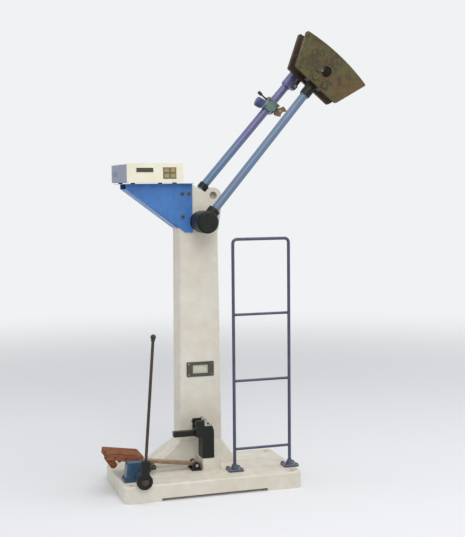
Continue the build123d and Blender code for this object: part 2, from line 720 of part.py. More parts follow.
def guard_top_rail():
    top = BASE_HEIGHT + GUARD_HEIGHT
    low = top - GUARD_BEND
    path = FilletPolyline((GUARD_LEFT, GUARD_Y, low), (GUARD_LEFT, GUARD_Y, top),
                          (GUARD_RIGHT, GUARD_Y, top), (GUARD_RIGHT, GUARD_Y, low), radius=GUARD_BEND - 0.01)
    return sweep(Plane((GUARD_LEFT, GUARD_Y, low), z_dir=(0, 0, 1)) * Circle(GUARD_R), path=path)


def guard_rung(height):
    z = BASE_HEIGHT + height
    bar = rod_x(GUARD_Y, z, GUARD_R - 1, GUARD_LEFT, GUARD_RIGHT)
    return bar - guard_post(GUARD_LEFT) - guard_post(GUARD_RIGHT)


def guard_foot(x):
    """The square foot plate and its socket for the post."""
    plate = extrude(Pos(x, GUARD_Y, BASE_HEIGHT) * RectangleRounded(GUARD_FOOT, GUARD_FOOT, 8), 8)
    plate = chamfer(plate.faces().sort_by(Axis.Z)[-1].edges(), 1.5)
    cone = Pos(x, GUARD_Y, BASE_HEIGHT + 8 + 9) * Cone(16, 10, 18) - guard_post(x)
    return plate + cone


def foot_bolts(x):
    return [hexagon(x + sx * 23, GUARD_Y + sy * 23, BASE_HEIGHT + 8, 11, 5) for sx in (-1, 1) for sy in (-1, 1)]


parts["guard_hoop"] = guard_post(GUARD_LEFT) + guard_top_rail() + guard_post(GUARD_RIGHT)
parts["guard_rungs"] = group([guard_rung(height) for height in RUNG_HEIGHTS])
parts["guard_feet"] = group([guard_foot(GUARD_LEFT), guard_foot(GUARD_RIGHT)])


# Brake

def brake_hinge_block():
    """Two cheeks on a foot, which carry the arm's hinge pin."""
    foot = block(HINGE_X - 20, HINGE_X + 20, -54, 18, BASE_HEIGHT, BASE_HEIGHT + 6)
    cheek = outline([(HINGE_X - 18, BASE_HEIGHT), (HINGE_X + 18, BASE_HEIGHT),
                     (HINGE_X + 12, HINGE_Z + 6), (HINGE_X - 12, HINGE_Z + 6)])
    cheek += Pos(HINGE_X, HINGE_Z) * Circle(13)
    half = ARM_WIDTH / 2 + 1
    body = foot + slab(cheek, SWING_PLANE - half - 12, SWING_PLANE - half)
    body += slab(cheek, SWING_PLANE + half, SWING_PLANE + half + 12)
    return body - rod_y(HINGE_X, HINGE_Z, 6, -70, 40)


def brake_arm():
    """The flat arm with its knuckle at the hinge, lying under the shoe."""
    half = ARM_WIDTH / 2
    taper = [(SHOE_FROM + 46, -half), (SHOE_FROM + 46, half), (0, half - 8), (0, 8 - half)]
    bar = extrude(Pos(0, 0, -6) * outline(taper), 12)
    knuckle = rod_y(0, 0, 13, 8 - half, half - 8)
    return on_arm(Pos(0, SWING_PLANE, 0) * (bar + knuckle - rod_y(0, 0, 6 + GAP, -40, 40)))


def brake_shoe():
    """The wooden shoe on the arm, slightly dished along its length."""
    body = block(SHOE_FROM, SHOE_TO, SHOE_FRONT, SHOE_BACK, 6, 28)
    return on_arm(fillet(body.edges().filter_by(Axis.Z), 5))


def shoe_lining():
    """The leather facing, folded down over the shoe's outer end."""
    top = block(SHOE_FROM - 4, SHOE_TO - 6, SHOE_FRONT + 3, SHOE_BACK - 3, 28, 32)
    fold = block(SHOE_FROM - 4, SHOE_FROM, SHOE_FRONT + 3, SHOE_BACK - 3, 8, 28)
    return on_arm(top + fold)


def lining_roller():
    """The round bar under the shoe's outer end that holds the lining tight."""
    x = SHOE_FROM + 26
    bar = rod_y(x, -11, 15, SHOE_FRONT - 2, SHOE_BACK + 2)
    washers = rod_y(x, -11, 6, SHOE_FRONT - 7, SHOE_BACK + 7)
    hangers = [block(x - 9, x + 9, y, y + 8, -11, 6) for y in (-66, 23)]
    return on_arm(chamfer(bar.edges().filter_by(GeomType.CIRCLE), 2) + washers + hangers)


def shoe_bolts():
    spots = [(x, y) for x in (SHOE_FROM + 60, SHOE_TO - 24) for y in (SWING_PLANE - 10, SWING_PLANE + 10)]
    return [on_arm(hexagon(x, y, -6, 13, 5, "-z")) for x, y in spots]


PEDESTAL = (-357, -250, -136, -66)
PEDESTAL_TOP = 146


def brake_pedestal():
    """The blue bearing housing of the brake shaft on its foot."""
    x0, x1, y0, y1 = PEDESTAL
    foot = block(x0, x1, y0, y1, BASE_HEIGHT, BASE_HEIGHT + 10)
    foot = fillet(foot.edges().filter_by(Axis.Z), 5)
    wall = [(x0 + 6, BASE_HEIGHT + 9), (x1 - 4, BASE_HEIGHT + 9), (x1 - 26, PEDESTAL_TOP), (x0 + 14, PEDESTAL_TOP)]
    housing = slab(outline(wall, 8), y0 + 3, y1 - 22)
    boss = rod_y(BRAKE_SHAFT_X, BRAKE_SHAFT_Z, 17, y0 - 6, y1 - 12)
    return foot + housing + boss - rod_y(BRAKE_SHAFT_X, BRAKE_SHAFT_Z, 9 + GAP, -300, 0)


def pedestal_bolts():
    x0, x1, y0, y1 = PEDESTAL
    return [hexagon(x, y1 - 9, BASE_HEIGHT + 10, 13, 6) for x in (x0 + 12, x1 - 12)]


def turned_lever(shape):
    """Places a piece drawn upright over the brake shaft at the lever's resting lean."""
    return Location((BRAKE_SHAFT_X, LEVER_Y, BRAKE_SHAFT_Z), (0, LEVER_TILT, 0)) * shape


def lever_boss():
    """The black disc on the shaft's front end, with the clamp that takes the lever."""
    disc = rod_y(0, 0, 32, -9, 9)
    disc = chamfer(disc.edges().filter_by(GeomType.CIRCLE), 2.5)
    clamp = slab(outline([(-16, 10), (16, 10), (15, 84), (-15, 84)], 4), -11, 11)
    cut = rod_z(0, 0, 6, 60, 90) + rod_y(0, 0, 9, -6, 20)
    studs = [rod_x(0, z, 4, 14, 22) for z in (44, 70)]
    return turned_lever(disc + clamp - cut + studs)


def lever_rod():
    return turned_lever(rod_z(0, 0, 6, 60, 560))


def lever_knob():
    ball = Pos(0, 0, 568) * Sphere(11) + rod_z(0, 0, 8, 552, 562)
    return turned_lever(ball - rod_z(0, 0, 6, 540, 560))


def brake_crank():
    """The crank on the shaft, under the brake arm."""
    plan = Circle(18) + Pos(CRANK / 2, 0) * Rectangle(CRANK, 18) + Pos(CRANK, 0) * Circle(10)
    plan = plan - Circle(9) - Pos(CRANK, 0) * Circle(5)
    crank = Location((BRAKE_SHAFT_X, 0, BRAKE_SHAFT_Z), (0, -CRANK_ANGLE, 0)) * slab(plan, -58, -46)
    return crank + at_crank_pin(rod_y(0, 0, 5, -60, -24) + rod_y(0, 0, 8, -26, -24))


def at_crank_pin(shape):
    turned = Location((BRAKE_SHAFT_X, 0, BRAKE_SHAFT_Z), (0, -CRANK_ANGLE, 0))
    return turned * Pos(CRANK, 0, 0) * shape


def brake():
    parts["brake_hinge_block"] = brake_hinge_block()
    parts["brake_hinge_pin"] = rod_y(HINGE_X, HINGE_Z, 6, -56, 20)
    parts["brake_arm"] = group([brake_arm()] + shoe_bolts())
    parts["brake_shoe"] = brake_shoe()
    parts["shoe_lining"] = shoe_lining()
    parts["lining_roller"] = lining_roller()
    parts["brake_pedestal"] = brake_pedestal()
    parts["brake_shaft"] = rod_y(BRAKE_SHAFT_X, BRAKE_SHAFT_Z, 9, LEVER_Y - 6, -42)
    parts["lever_boss"] = lever_boss()
    parts["lever_rod"] = lever_rod()
    parts["lever_knob"] = lever_knob()
    parts["brake_crank"] = brake_crank()
    parts["crank_roller"] = at_crank_pin(ring_y(0, 0, CRANK_ROLLER_R, 5 + GAP, -45, -27))


brake()


# Bolts and screws that hold the fixed pieces

def frame_bolts():
    bolts = [column_screw(x, y) for x, y in COLUMN_SCREWS]
    bolts += foot_bolts(GUARD_LEFT) + foot_bolts(GUARD_RIGHT) + pedestal_bolts()
    bolts += [hexagon(x, COLUMN_FRONT - WEB_THICK, z, 13, 5, "-y") for x, z in BRACKET_BOLTS]
    bolts += [hexagon(x, COLUMN_BACK + WEB_THICK, z, 13, 5, "y") for x, z in BRACKET_BOLTS]
    bolts.append(rod_x(SWING_PLANE, 203, 5, 24, 46) + rod_x(SWING_PLANE, 203, 8, 38, 46))
    return bolts


parts["frame_bolts"] = group(frame_bolts())

os.makedirs("parts", exist_ok=True)
for name, shape in parts.items():
    export_step(shape, f"parts/{name}.step")
print(len(parts), "parts")
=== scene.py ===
"""Looks of a floor-standing pendulum impact tester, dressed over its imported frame."""

import logging
import math
from dataclasses import dataclass
from enum import Enum
from itertools import product
from typing import ClassVar

import bmesh
import bpy
from mathutils import Matrix, Vector


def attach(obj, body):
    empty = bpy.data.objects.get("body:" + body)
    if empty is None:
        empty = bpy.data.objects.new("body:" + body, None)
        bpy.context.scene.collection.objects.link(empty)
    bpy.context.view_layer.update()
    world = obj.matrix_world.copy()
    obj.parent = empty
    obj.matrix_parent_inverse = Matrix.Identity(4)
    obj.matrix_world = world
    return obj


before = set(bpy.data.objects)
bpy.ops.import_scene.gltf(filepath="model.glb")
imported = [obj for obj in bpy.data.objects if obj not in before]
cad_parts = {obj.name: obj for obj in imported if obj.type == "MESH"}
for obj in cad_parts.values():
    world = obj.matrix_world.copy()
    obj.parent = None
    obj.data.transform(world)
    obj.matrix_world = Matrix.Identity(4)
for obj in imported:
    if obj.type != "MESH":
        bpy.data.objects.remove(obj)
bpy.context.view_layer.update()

log = logging.getLogger("tester")

Colour = tuple[int, int, int]
Point = tuple[float, float, float]
Pair = tuple[float, float]
Profile = tuple[Pair, ...]
SlotTable = dict[str, tuple[str, ...]]
Form = bmesh.types.BMesh
Socket = bpy.types.NodeSocket

LEFT: Point = (-1.0, 0.0, 0.0)
RIGHT: Point = (1.0, 0.0, 0.0)
FRONT: Point = (0.0, -1.0, 0.0)
BACK: Point = (0.0, 1.0, 0.0)
UP: Point = (0.0, 0.0, 1.0)
SIDES: Pair = (-1, 1)


def linear(colour: Colour) -> Point:
    """Turns a colour as the screen shows it into the renderer's linear values.

    Args:
        colour: Red, green and blue from 0 to 255.

    Returns:
        The three linear values.
    """
    shares = (value / 255 for value in colour)
    return tuple(share / 12.92 if share <= 0.04045 else ((share + 0.055) / 1.055) ** 2.4 for share in shares)


class Axis(Enum):
    """The row axis that the marks on steel follow."""

    X = "X"
    Y = "Y"
    Z = "Z"


class Effect(Enum):
    """The surface effects that several finishes share."""

    EDGE_WEAR = "edge_wear"
    PAINT_SKIN = "paint_skin"
    CAST_SKIN = "cast_skin"
    MOTTLE = "mottle"
    SETTLED_DUST = "settled_dust"
    BRUSHED_GRAIN = "brushed_grain"


class NodeSheet:
    """Adds and joins the nodes of one tree."""

    def __init__(self, tree: bpy.types.NodeTree) -> None:
        """Keeps the tree that the nodes go into."""
        self.tree = tree

    def add(self, kind: str, settings: dict | None = None, inputs: dict | None = None) -> bpy.types.Node:
        """Adds one node.

        Args:
            kind: The node's type name.
            settings: Its own properties.
            inputs: Its sockets by name or number, each with what feed() takes.

        Returns:
            The new node.
        """
        node = self.tree.nodes.new(kind)
        for key, value in (settings or {}).items():
            setattr(node, key, value)
        for key, value in (inputs or {}).items():
            self.feed(node.inputs[key], value)
        return node

    def feed(self, socket: Socket, value: object) -> None:
        """Gives a socket a value, or joins it to another socket.

        Args:
            socket: The socket to fill.
            value: A number, a screen colour or an output socket.
        """
        if isinstance(value, Socket):
            self.tree.links.new(value, socket)
        elif isinstance(value, tuple):
            socket.default_value = (*linear(value), 1.0)
        else:
            socket.default_value = value

    def sum(self, operation: str, first: object, second: object = 0.0, third: object = 0.0,
            clamp: bool = False) -> Socket:
        """One step of arithmetic.

        Args:
            operation: The Math node's operation.
            first: A number or a socket.
            second: A number or a socket.
            third: A number or a socket, where the operation has one.
            clamp: Whether the result is kept from 0 to 1.

        Returns:
            The result's socket.
        """
        settings = {"operation": operation, "use_clamp": clamp}
        return self.add("ShaderNodeMath", settings, {0: first, 1: second, 2: third}).outputs[0]

    def cover(self, colour: object, mask: Socket, over: Colour, share: float = 1.0) -> Socket:
        """Lays one colour over another.

        Args:
            colour: The lower colour, or its socket.
            mask: Where the upper colour lies.
            over: The upper colour.
            share: How much of it shows where the mask is full.

        Returns:
            The socket of the colour of both.
        """
        inputs = {0: self.sum("MULTIPLY", mask, share), 6: colour, 7: over}
        return self.add("ShaderNodeMix", {"data_type": "RGBA"}, inputs).outputs[2]

    def spread(self, mask: Socket, width: float, middle: float) -> Socket:
        """Lets a value vary about its middle by a mask.

        Args:
            mask: The pattern, from 0 to 1.
            width: How far apart the value's ends are.
            middle: The value where the mask is a half.

        Returns:
            The value's socket.
        """
        return self.sum("MULTIPLY_ADD", mask, width, middle - width / 2, clamp=True)

    def band(self, value: Socket, low: float, high: float) -> Socket:
        """Stretches the part of a value between two limits.

        Args:
            value: The socket to read.
            low: The value that gives 0.
            high: The value that gives 1.

        Returns:
            The result's socket.
        """
        inputs = {"From Min": low, "From Max": high, "Value": value}
        return self.add("ShaderNodeMapRange", {"interpolation_type": "SMOOTHSTEP"}, inputs).outputs[0]

    def noise(self, place: Socket, scale: object, detail: float, roughness: float) -> Socket:
        """A cloudy pattern.

        Args:
            place: The coordinates it reads.
            scale: Waves to the metre, as a number or a socket.
            detail: How many finer layers it has.
            roughness: How strong the finer layers are.

        Returns:
            The pattern's strength.
        """
        inputs = {"Vector": place, "Scale": scale, "Detail": detail, "Roughness": roughness}
        return self.add("ShaderNodeTexNoise", inputs=inputs).outputs["Fac"]

    def vector(self, operation: str, first: Socket, second: Socket) -> bpy.types.Node:
        """A node that works on two vectors."""
        return self.add("ShaderNodeVectorMath", {"operation": operation}, {0: first, 1: second})

    def part(self, vector: Socket, axis: str) -> Socket:
        """One axis of a vector."""
        return self.add("ShaderNodeSeparateXYZ", inputs={0: vector}).outputs[axis]

    def place(self) -> Socket:
        """The piece's own coordinates, which are the row frame's in metres."""
        return self.add("ShaderNodeTexCoord").outputs["Object"]

    def show(self, share: Socket, first: bpy.types.Node, second: bpy.types.Node, output: str) -> None:
        """Blends two shaders into the tree's output.

        Args:
            share: How much of the second shows.
            first: The first shader.
            second: The second shader.
            output: The name of the output node.
        """
        blend = self.add("ShaderNodeMixShader", inputs={0: share, 1: first.outputs[0], 2: second.outputs[0]})
        self.feed(self.tree.nodes[output].inputs["Surface"], blend.outputs[0])


class EffectLibrary:
    """Builds each shared effect once, as a node group, by the method of the effect's name."""

    def __init__(self) -> None:
        """Builds every group."""
        self.groups: dict[Effect, bpy.types.NodeTree] = {}
        for effect in Effect:
            getattr(self, effect.value)()

    def start(self, effect: Effect, inputs: dict[str, float], outputs: tuple[str, ...]) -> tuple:
        """Makes an empty group with its sockets, and keeps it.

        Args:
            effect: The effect it is for.
            inputs: Its number sockets and their usual values.
            outputs: The names of the numbers that it puts out.

        Returns:
            The sheet, the sockets that the group is given and those that it fills.
        """
        tree = bpy.data.node_groups.new(effect.value, "ShaderNodeTree")
        for name, value in inputs.items():
            socket = tree.interface.new_socket(name=name, in_out="INPUT", socket_type="NodeSocketFloat")
            socket.default_value = value
        for name in outputs:
            tree.interface.new_socket(name=name, in_out="OUTPUT", socket_type="NodeSocketFloat")
        self.groups[effect] = tree
        sheet = NodeSheet(tree)
        return sheet, sheet.add("NodeGroupInput").outputs, sheet.add("NodeGroupOutput").inputs

    def edge_wear(self) -> None:
        """Where corners have rubbed: strongest on sharp edges and broken up by noise."""
        usual = {"Width": 0.002, "Amount": 0.5, "Scale": 60.0}
        sheet, given, made = self.start(Effect.EDGE_WEAR, usual, ("Wear",))
        soft = sheet.add("ShaderNodeBevel", {"samples": 6}, {"Radius": given["Width"]})
        flat = sheet.add("ShaderNodeNewGeometry")
        dot = sheet.vector("DOT_PRODUCT", soft.outputs["Normal"], flat.outputs["Normal"])
        turn = sheet.sum("SUBTRACT", 1.0, dot.outputs["Value"], clamp=True)
        edge = sheet.band(turn, 0.01, 0.16)
        patch = sheet.noise(sheet.place(), given["Scale"], 6.0, 0.7)
        limit = sheet.sum("SUBTRACT", 0.78, sheet.sum("MULTIPLY", given["Amount"], 0.5))
        rubbed = sheet.sum("MULTIPLY", sheet.sum("SUBTRACT", patch, limit), 9.0, clamp=True)
        sheet.feed(made["Wear"], sheet.sum("MULTIPLY", edge, rubbed, clamp=True))

    def paint_skin(self) -> None:
        """The slight waves and fine peel of sprayed paint."""
        sheet, given, made = self.start(Effect.PAINT_SKIN, {"Scale": 900.0, "Waves": 18.0}, ("Height",))
        place = sheet.place()
        peel = sheet.noise(place, given["Scale"], 2.0, 0.4)
        waves = sheet.noise(place, given["Waves"], 3.0, 0.5)
        sheet.feed(made["Height"], sheet.sum("MULTIPLY_ADD", waves, 3.0, peel))

    def cast_skin(self) -> None:
        """The grainy skin of a filled and painted casting."""
        usual = {"Scale": 260.0, "Waves": 9.0}
        sheet, given, made = self.start(Effect.CAST_SKIN, usual, ("Height", "Pits"))
        place = sheet.place()
        inputs = {"Vector": place, "Scale": given["Scale"]}
        cells = sheet.add("ShaderNodeTexVoronoi", {"feature": "SMOOTH_F1"}, inputs)
        grains = sheet.noise(place, given["Scale"], 5.0, 0.65)
        waves = sheet.noise(place, given["Waves"], 4.0, 0.6)
        rough = sheet.sum("MULTIPLY_ADD", cells.outputs["Distance"], 0.35, grains)
        sheet.feed(made["Height"], sheet.sum("MULTIPLY_ADD", waves, 3.5, rough))
        sheet.feed(made["Pits"], sheet.band(rough, 0.62, 0.42))

    def mottle(self) -> None:
        """Cloudy patches of two sizes."""
        sheet, given, made = self.start(Effect.MOTTLE, {"Scale": 12.0, "Contrast": 0.5}, ("Mask",))
        place = sheet.place()
        large = sheet.noise(place, given["Scale"], 5.0, 0.6)
        small = sheet.noise(place, sheet.sum("MULTIPLY", given["Scale"], 7.0), 4.0, 0.6)
        both = sheet.sum("MULTIPLY_ADD", small, 0.45, sheet.sum("MULTIPLY", large, 0.55))
        spread = sheet.sum("MULTIPLY_ADD", sheet.sum("SUBTRACT", both, 0.5), 6.0, 0.5)
        centred = sheet.sum("MULTIPLY", sheet.sum("SUBTRACT", spread, 0.5), given["Contrast"])
        sheet.feed(made["Mask"], sheet.sum("ADD", centred, 0.5, clamp=True))

    def settled_dust(self) -> None:
        """Dust that lies on what faces up, thicker in patches."""
        sheet, given, made = self.start(Effect.SETTLED_DUST, {"Amount": 0.4, "Scale": 25.0}, ("Dust",))
        facing = sheet.add("ShaderNodeNewGeometry").outputs["Normal"]
        up = sheet.band(sheet.part(facing, "Z"), 0.35, 1.0)
        patch = sheet.band(sheet.noise(sheet.place(), given["Scale"], 7.0, 0.7), 0.3, 0.75)
        lying = sheet.sum("MULTIPLY", up, patch)
        sheet.feed(made["Dust"], sheet.sum("MULTIPLY", lying, given["Amount"], clamp=True))

    def brushed_grain(self) -> None:
        """Fine parallel marks of grinding or turning."""
        usual = {"Along X": 20.0, "Along Y": 1500.0, "Along Z": 1500.0}
        sheet, given, made = self.start(Effect.BRUSHED_GRAIN, usual, ("Height", "Streaks"))
        inputs = {axis.value: given[f"Along {axis.value}"] for axis in Axis}
        stretch = sheet.add("ShaderNodeCombineXYZ", inputs=inputs)
        scaled = sheet.vector("MULTIPLY", sheet.place(), stretch.outputs[0]).outputs[0]
        fine = sheet.noise(scaled, 1.0, 3.0, 0.6)
        broad = sheet.noise(scaled, 0.12, 2.0, 0.5)
        sheet.feed(made["Height"], fine)
        halved = sheet.sum("MULTIPLY", fine, 0.5)
        sheet.feed(made["Streaks"], sheet.sum("MULTIPLY_ADD", broad, 0.5, halved))


class Dresser(NodeSheet):
    """The sheet of one material in the making, with its shader and the shared effects."""

    def __init__(self, name: str, effects: EffectLibrary) -> None:
        """Starts a material that has only a shader.

        Args:
            name: The material's name.
            effects: The shared effects.
        """
        self.material = bpy.data.materials.new(name)
        self.material.use_nodes = True
        self.material.node_tree.nodes.clear()
        super().__init__(self.material.node_tree)
        self.effects = effects
        self.shader = self.add("ShaderNodeBsdfPrincipled")
        self.add("ShaderNodeOutputMaterial", inputs={"Surface": self.shader.outputs[0]})

    def effect(self, effect: Effect, **values: float) -> bpy.types.bpy_prop_collection:
        """Places a shared effect.

        Args:
            effect: Which one.
            **values: Its sockets, with a low line for each space.

        Returns:
            The group's output sockets.
        """
        inputs = {key.replace("_", " "): value for key, value in values.items()}
        return self.add("ShaderNodeGroup", {"node_tree": self.effects.groups[effect]}, inputs).outputs

    def fill(self, **values: object) -> None:
        """Fills the shader's sockets.

        Args:
            **values: The sockets, with a low line for each space, each with what feed() takes.
        """
        for key, value in values.items():
            self.feed(self.shader.inputs[key.replace("_", " ")], value)

    def bump(self, height: Socket, depth: float) -> None:
        """Raises the surface by a pattern.

        Args:
            height: The pattern.
            depth: How far it stands up, in metres.
        """
        node = self.add("ShaderNodeBump", inputs={"Distance": depth, "Height": height})
        self.fill(Normal=node.outputs["Normal"])


@dataclass(frozen=True)
class Finish:
    """What every finish has: the name of its slot, a main colour and a second one."""

    name: str
    colour: Colour
    shade: Colour

    def make(self, effects: EffectLibrary) -> bpy.types.Material:
        """Builds the material.

        Args:
            effects: The shared effects.

        Returns:
            The material.
        """
        sheet = Dresser(self.name, effects)
        self.lay(sheet)
        return sheet.material

    def lay(self, sheet: Dresser) -> None:
        """Joins the nodes of the finish. Each kind of finish has its own."""
        raise NotImplementedError


@dataclass(frozen=True)
class PaintFinish(Finish):
    """Sprayed machine paint, with rubbed edges and a little dust."""

    chip: Colour
    roughness: float = 0.42
    coat: float = 0.15
    coat_roughness: float = 0.18
    wear: float = 0.45
    wear_width: float = 0.0016
    dust: float = 0.25
    dust_colour: Colour = (176, 170, 156)
    cast: bool = False
    pit_share: float = 0.16
    peel: float = 0.00002
    cast_peel: float = 0.00008
    mottle_scale: float = 5.0
    specular: float = 0.5

    def lay(self, sheet: Dresser) -> None:
        """Lays mottled paint, then pits, dust and rubbed edges over it.

        Args:
            sheet: The material in the making.
        """
        clouds = sheet.effect(Effect.MOTTLE, Scale=self.mottle_scale, Contrast=0.7)["Mask"]
        edge = sheet.effect(Effect.EDGE_WEAR, Width=self.wear_width, Amount=self.wear)["Wear"]
        dust = sheet.effect(Effect.SETTLED_DUST, Amount=self.dust)["Dust"]
        skin = sheet.effect(Effect.CAST_SKIN if self.cast else Effect.PAINT_SKIN)
        colour = sheet.cover(self.colour, clouds, self.shade)
        if self.cast:
            colour = sheet.cover(colour, skin["Pits"], self.chip, self.pit_share)
        # A finish that changes colour by height lays its lower colour here; on the box cover that is a
        # painted shade on the sides.
        colour = sheet.cover(self.colour_by_height(sheet, colour), dust, self.dust_colour)
        colour = sheet.cover(colour, edge, self.chip)
        rough = sheet.spread(clouds, 0.12, self.roughness)
        rough = sheet.sum("MULTIPLY_ADD", dust, 0.5, rough, clamp=True)
        sheet.fill(Base_Color=colour, Roughness=rough, Coat_Weight=self.coat,
                     Coat_Roughness=self.coat_roughness, Specular_IOR_Level=self.specular)
        sheet.bump(skin["Height"], self.cast_peel if self.cast else self.peel)

    def colour_by_height(self, sheet: NodeSheet, colour: Socket) -> Socket:
        """The colour as it is. A finish that changes colour below a height changes it here."""
        return colour


@dataclass(frozen=True)
class HeightSplitFinish(PaintFinish):
    """Paint that turns into another colour below a height of the row frame, in metres. On the box cover the
    lower colour is a painted shade on the sides.
    """

    # The usual lower colour is a painted shade: the lilac-grey of the box cover's sides, in place of the
    # white of its top.
    low: Colour = (122, 130, 156)
    part_height: float = 1.3245
    blend: float = 0.004

    def colour_by_height(self, sheet: NodeSheet, colour: Socket) -> Socket:
        """Lays the lower colour below the height where the two part.

        Args:
            sheet: The material's nodes.
            colour: The upper colour.

        Returns:
            The colour of the whole surface.
        """
        height = sheet.part(sheet.place(), "Z")
        below = sheet.band(height, self.part_height + self.blend, self.part_height)
        return sheet.cover(colour, below, self.low)


@dataclass(frozen=True)
class SteelFinish(Finish):
    """Bare or blackened steel with the marks of its making."""

    roughness: float = 0.32
    metallic: float = 1.0
    grain: Axis = Axis.X
    waves_along: float = 25.0
    waves_across: float = 1300.0
    depth: float = 0.000008
    edge_colour: Colour = (206, 204, 198)

    def lay(self, sheet: Dresser) -> None:
        """Lays stains, marks and bright edges over the steel.

        Args:
            sheet: The material in the making.
        """
        waves = {f"Along_{axis.value}": self.waves_along if axis is self.grain else self.waves_across
                 for axis in Axis}
        grain = sheet.effect(Effect.BRUSHED_GRAIN, **waves)
        clouds = sheet.effect(Effect.MOTTLE, Scale=28.0, Contrast=0.8)["Mask"]
        edge = sheet.effect(Effect.EDGE_WEAR, Width=0.0012, Amount=0.9, Scale=120.0)["Wear"]
        marks = sheet.band(grain["Streaks"], 0.35, 0.65)
        colour = sheet.cover(self.colour, clouds, self.shade, 0.6)
        colour = sheet.cover(colour, marks, self.shade, 0.18)
        colour = sheet.cover(colour, edge, self.edge_colour, 0.5)
        rough = sheet.spread(marks, 0.14, self.roughness)
        rough = sheet.sum("MULTIPLY_ADD", clouds, 0.12, rough, clamp=True)
        sheet.fill(Base_Color=colour, Roughness=rough, Metallic=self.metallic)
        sheet.bump(grain["Height"], self.depth)


@dataclass(frozen=True)
class MottledFinish(Finish):
    """A dull finish that clouds from one colour to others, as on the hammer plates."""

    stain: Colour
    scale: float = 9.0
    roughness: float = 0.58
    metallic: float = 0.1
    specular: float = 0.3
    depth: float = 0.00005
    pit_colour: Colour = (50, 44, 32)
    dust_colour: Colour = (140, 132, 112)
    edge_colour: Colour = (142, 128, 100)

    def lay(self, sheet: Dresser) -> None:
        """Lays patches, stains, pits, dust and rubbed edges over the colour.

        Args:
            sheet: The material in the making.
        """
        clouds = sheet.effect(Effect.MOTTLE, Scale=self.scale, Contrast=1.1)["Mask"]
        stains = sheet.effect(Effect.MOTTLE, Scale=self.scale * 0.4, Contrast=1.4)["Mask"]
        skin = sheet.effect(Effect.CAST_SKIN, Scale=420.0, Waves=30.0)
        edge = sheet.effect(Effect.EDGE_WEAR, Width=0.0025, Amount=0.8, Scale=90.0)["Wear"]
        dust = sheet.effect(Effect.SETTLED_DUST, Amount=0.3)["Dust"]
        colour = sheet.cover(self.colour, clouds, self.shade)
        colour = sheet.cover(colour, sheet.band(stains, 0.45, 0.95), self.stain, 0.7)
        colour = sheet.cover(colour, skin["Pits"], self.pit_colour, 0.3)
        colour = sheet.cover(colour, dust, self.dust_colour, 0.5)
        colour = sheet.cover(colour, edge, self.edge_colour, 0.7)
        sheet.fill(Base_Color=colour, Roughness=sheet.spread(clouds, 0.2, self.roughness),
                     Metallic=self.metallic, Specular_IOR_Level=self.specular)
        sheet.bump(skin["Height"], self.depth)


@dataclass(frozen=True)
class MouldedFinish(Finish):
    """Moulded plastic or rubber with a fine grain."""

    roughness: float = 0.5
    grain: float = 700.0
    depth: float = 0.00003
    edge_colour: Colour = (140, 140, 136)
    dust_colour: Colour = (160, 156, 146)

    def lay(self, sheet: Dresser) -> None:
        """Lays clouds, pale edges and dust over the colour.

        Args:
            sheet: The material in the making.
        """
        skin = sheet.effect(Effect.CAST_SKIN, Scale=self.grain, Waves=40.0)
        clouds = sheet.effect(Effect.MOTTLE, Scale=30.0, Contrast=0.6)["Mask"]
        edge = sheet.effect(Effect.EDGE_WEAR, Width=0.001, Amount=0.7, Scale=150.0)["Wear"]
        dust = sheet.effect(Effect.SETTLED_DUST, Amount=0.2)["Dust"]
        colour = sheet.cover(self.colour, clouds, self.shade)
        colour = sheet.cover(colour, edge, self.edge_colour, 0.35)
        colour = sheet.cover(colour, dust, self.dust_colour)
        sheet.fill(Base_Color=colour, Roughness=sheet.spread(clouds, 0.12, self.roughness))
        sheet.bump(skin["Height"], self.depth)


@dataclass(frozen=True)
class KeypadFilmFinish(Finish):
    """Printed keypad film: a band in the main colour above a field in the second one."""

    part_height: float
    part_soft: float = 0.0004
    smear_colour: Colour = (96, 80, 60)
    roughness: float = 0.375
    depth: float = 0.00001

    def lay(self, sheet: Dresser) -> None:
        """Prints the band and the field, and smears both a little.

        Args:
            sheet: The material in the making.
        """
        height = sheet.part(sheet.place(), "Z")
        above = sheet.band(height, self.part_height - self.part_soft, self.part_height + self.part_soft)
        clouds = sheet.effect(Effect.MOTTLE, Scale=60.0, Contrast=0.5)["Mask"]
        colour = sheet.cover(self.shade, above, self.colour)
        colour = sheet.cover(colour, clouds, self.smear_colour, 0.25)
        sheet.fill(Base_Color=colour, Roughness=sheet.spread(clouds, 0.15, self.roughness))
        sheet.bump(sheet.effect(Effect.PAINT_SKIN, Scale=2200.0)["Height"], self.depth)


@dataclass(frozen=True)
class DisplayFinish(Finish):
    """The dark window of the display, with faint lighter bars in the second colour: a painted glow of its
    digits.
    """

    left: float
    digit_pitch: float
    smear_colour: Colour = (70, 70, 52)
    roughness: float = 0.17
    coat: float = 0.4
    coat_roughness: float = 0.08
    depth: float = 0.000004

    def lay(self, sheet: Dresser) -> None:
        """Lays the painted glow of the digit bars and smears the window's face a little.

        Args:
            sheet: The material in the making.
        """
        across = sheet.sum("SUBTRACT", sheet.part(sheet.place(), "X"), self.left)
        share = sheet.sum("FRACT", sheet.sum("DIVIDE", across, self.digit_pitch))
        middle = sheet.sum("ABSOLUTE", sheet.sum("SUBTRACT", share, 0.5))
        smear = sheet.effect(Effect.MOTTLE, Scale=45.0, Contrast=0.7)["Mask"]
        # Painted glow: lighter bars at the digit pitch.
        colour = sheet.cover(self.colour, sheet.band(middle, 0.36, 0.32), self.shade, 0.35)
        colour = sheet.cover(colour, smear, self.smear_colour, 0.2)
        sheet.fill(Base_Color=colour, Roughness=sheet.spread(smear, 0.14, self.roughness),
                     Coat_Weight=self.coat, Coat_Roughness=self.coat_roughness)
        sheet.bump(sheet.effect(Effect.PAINT_SKIN, Scale=300.0)["Height"], self.depth)


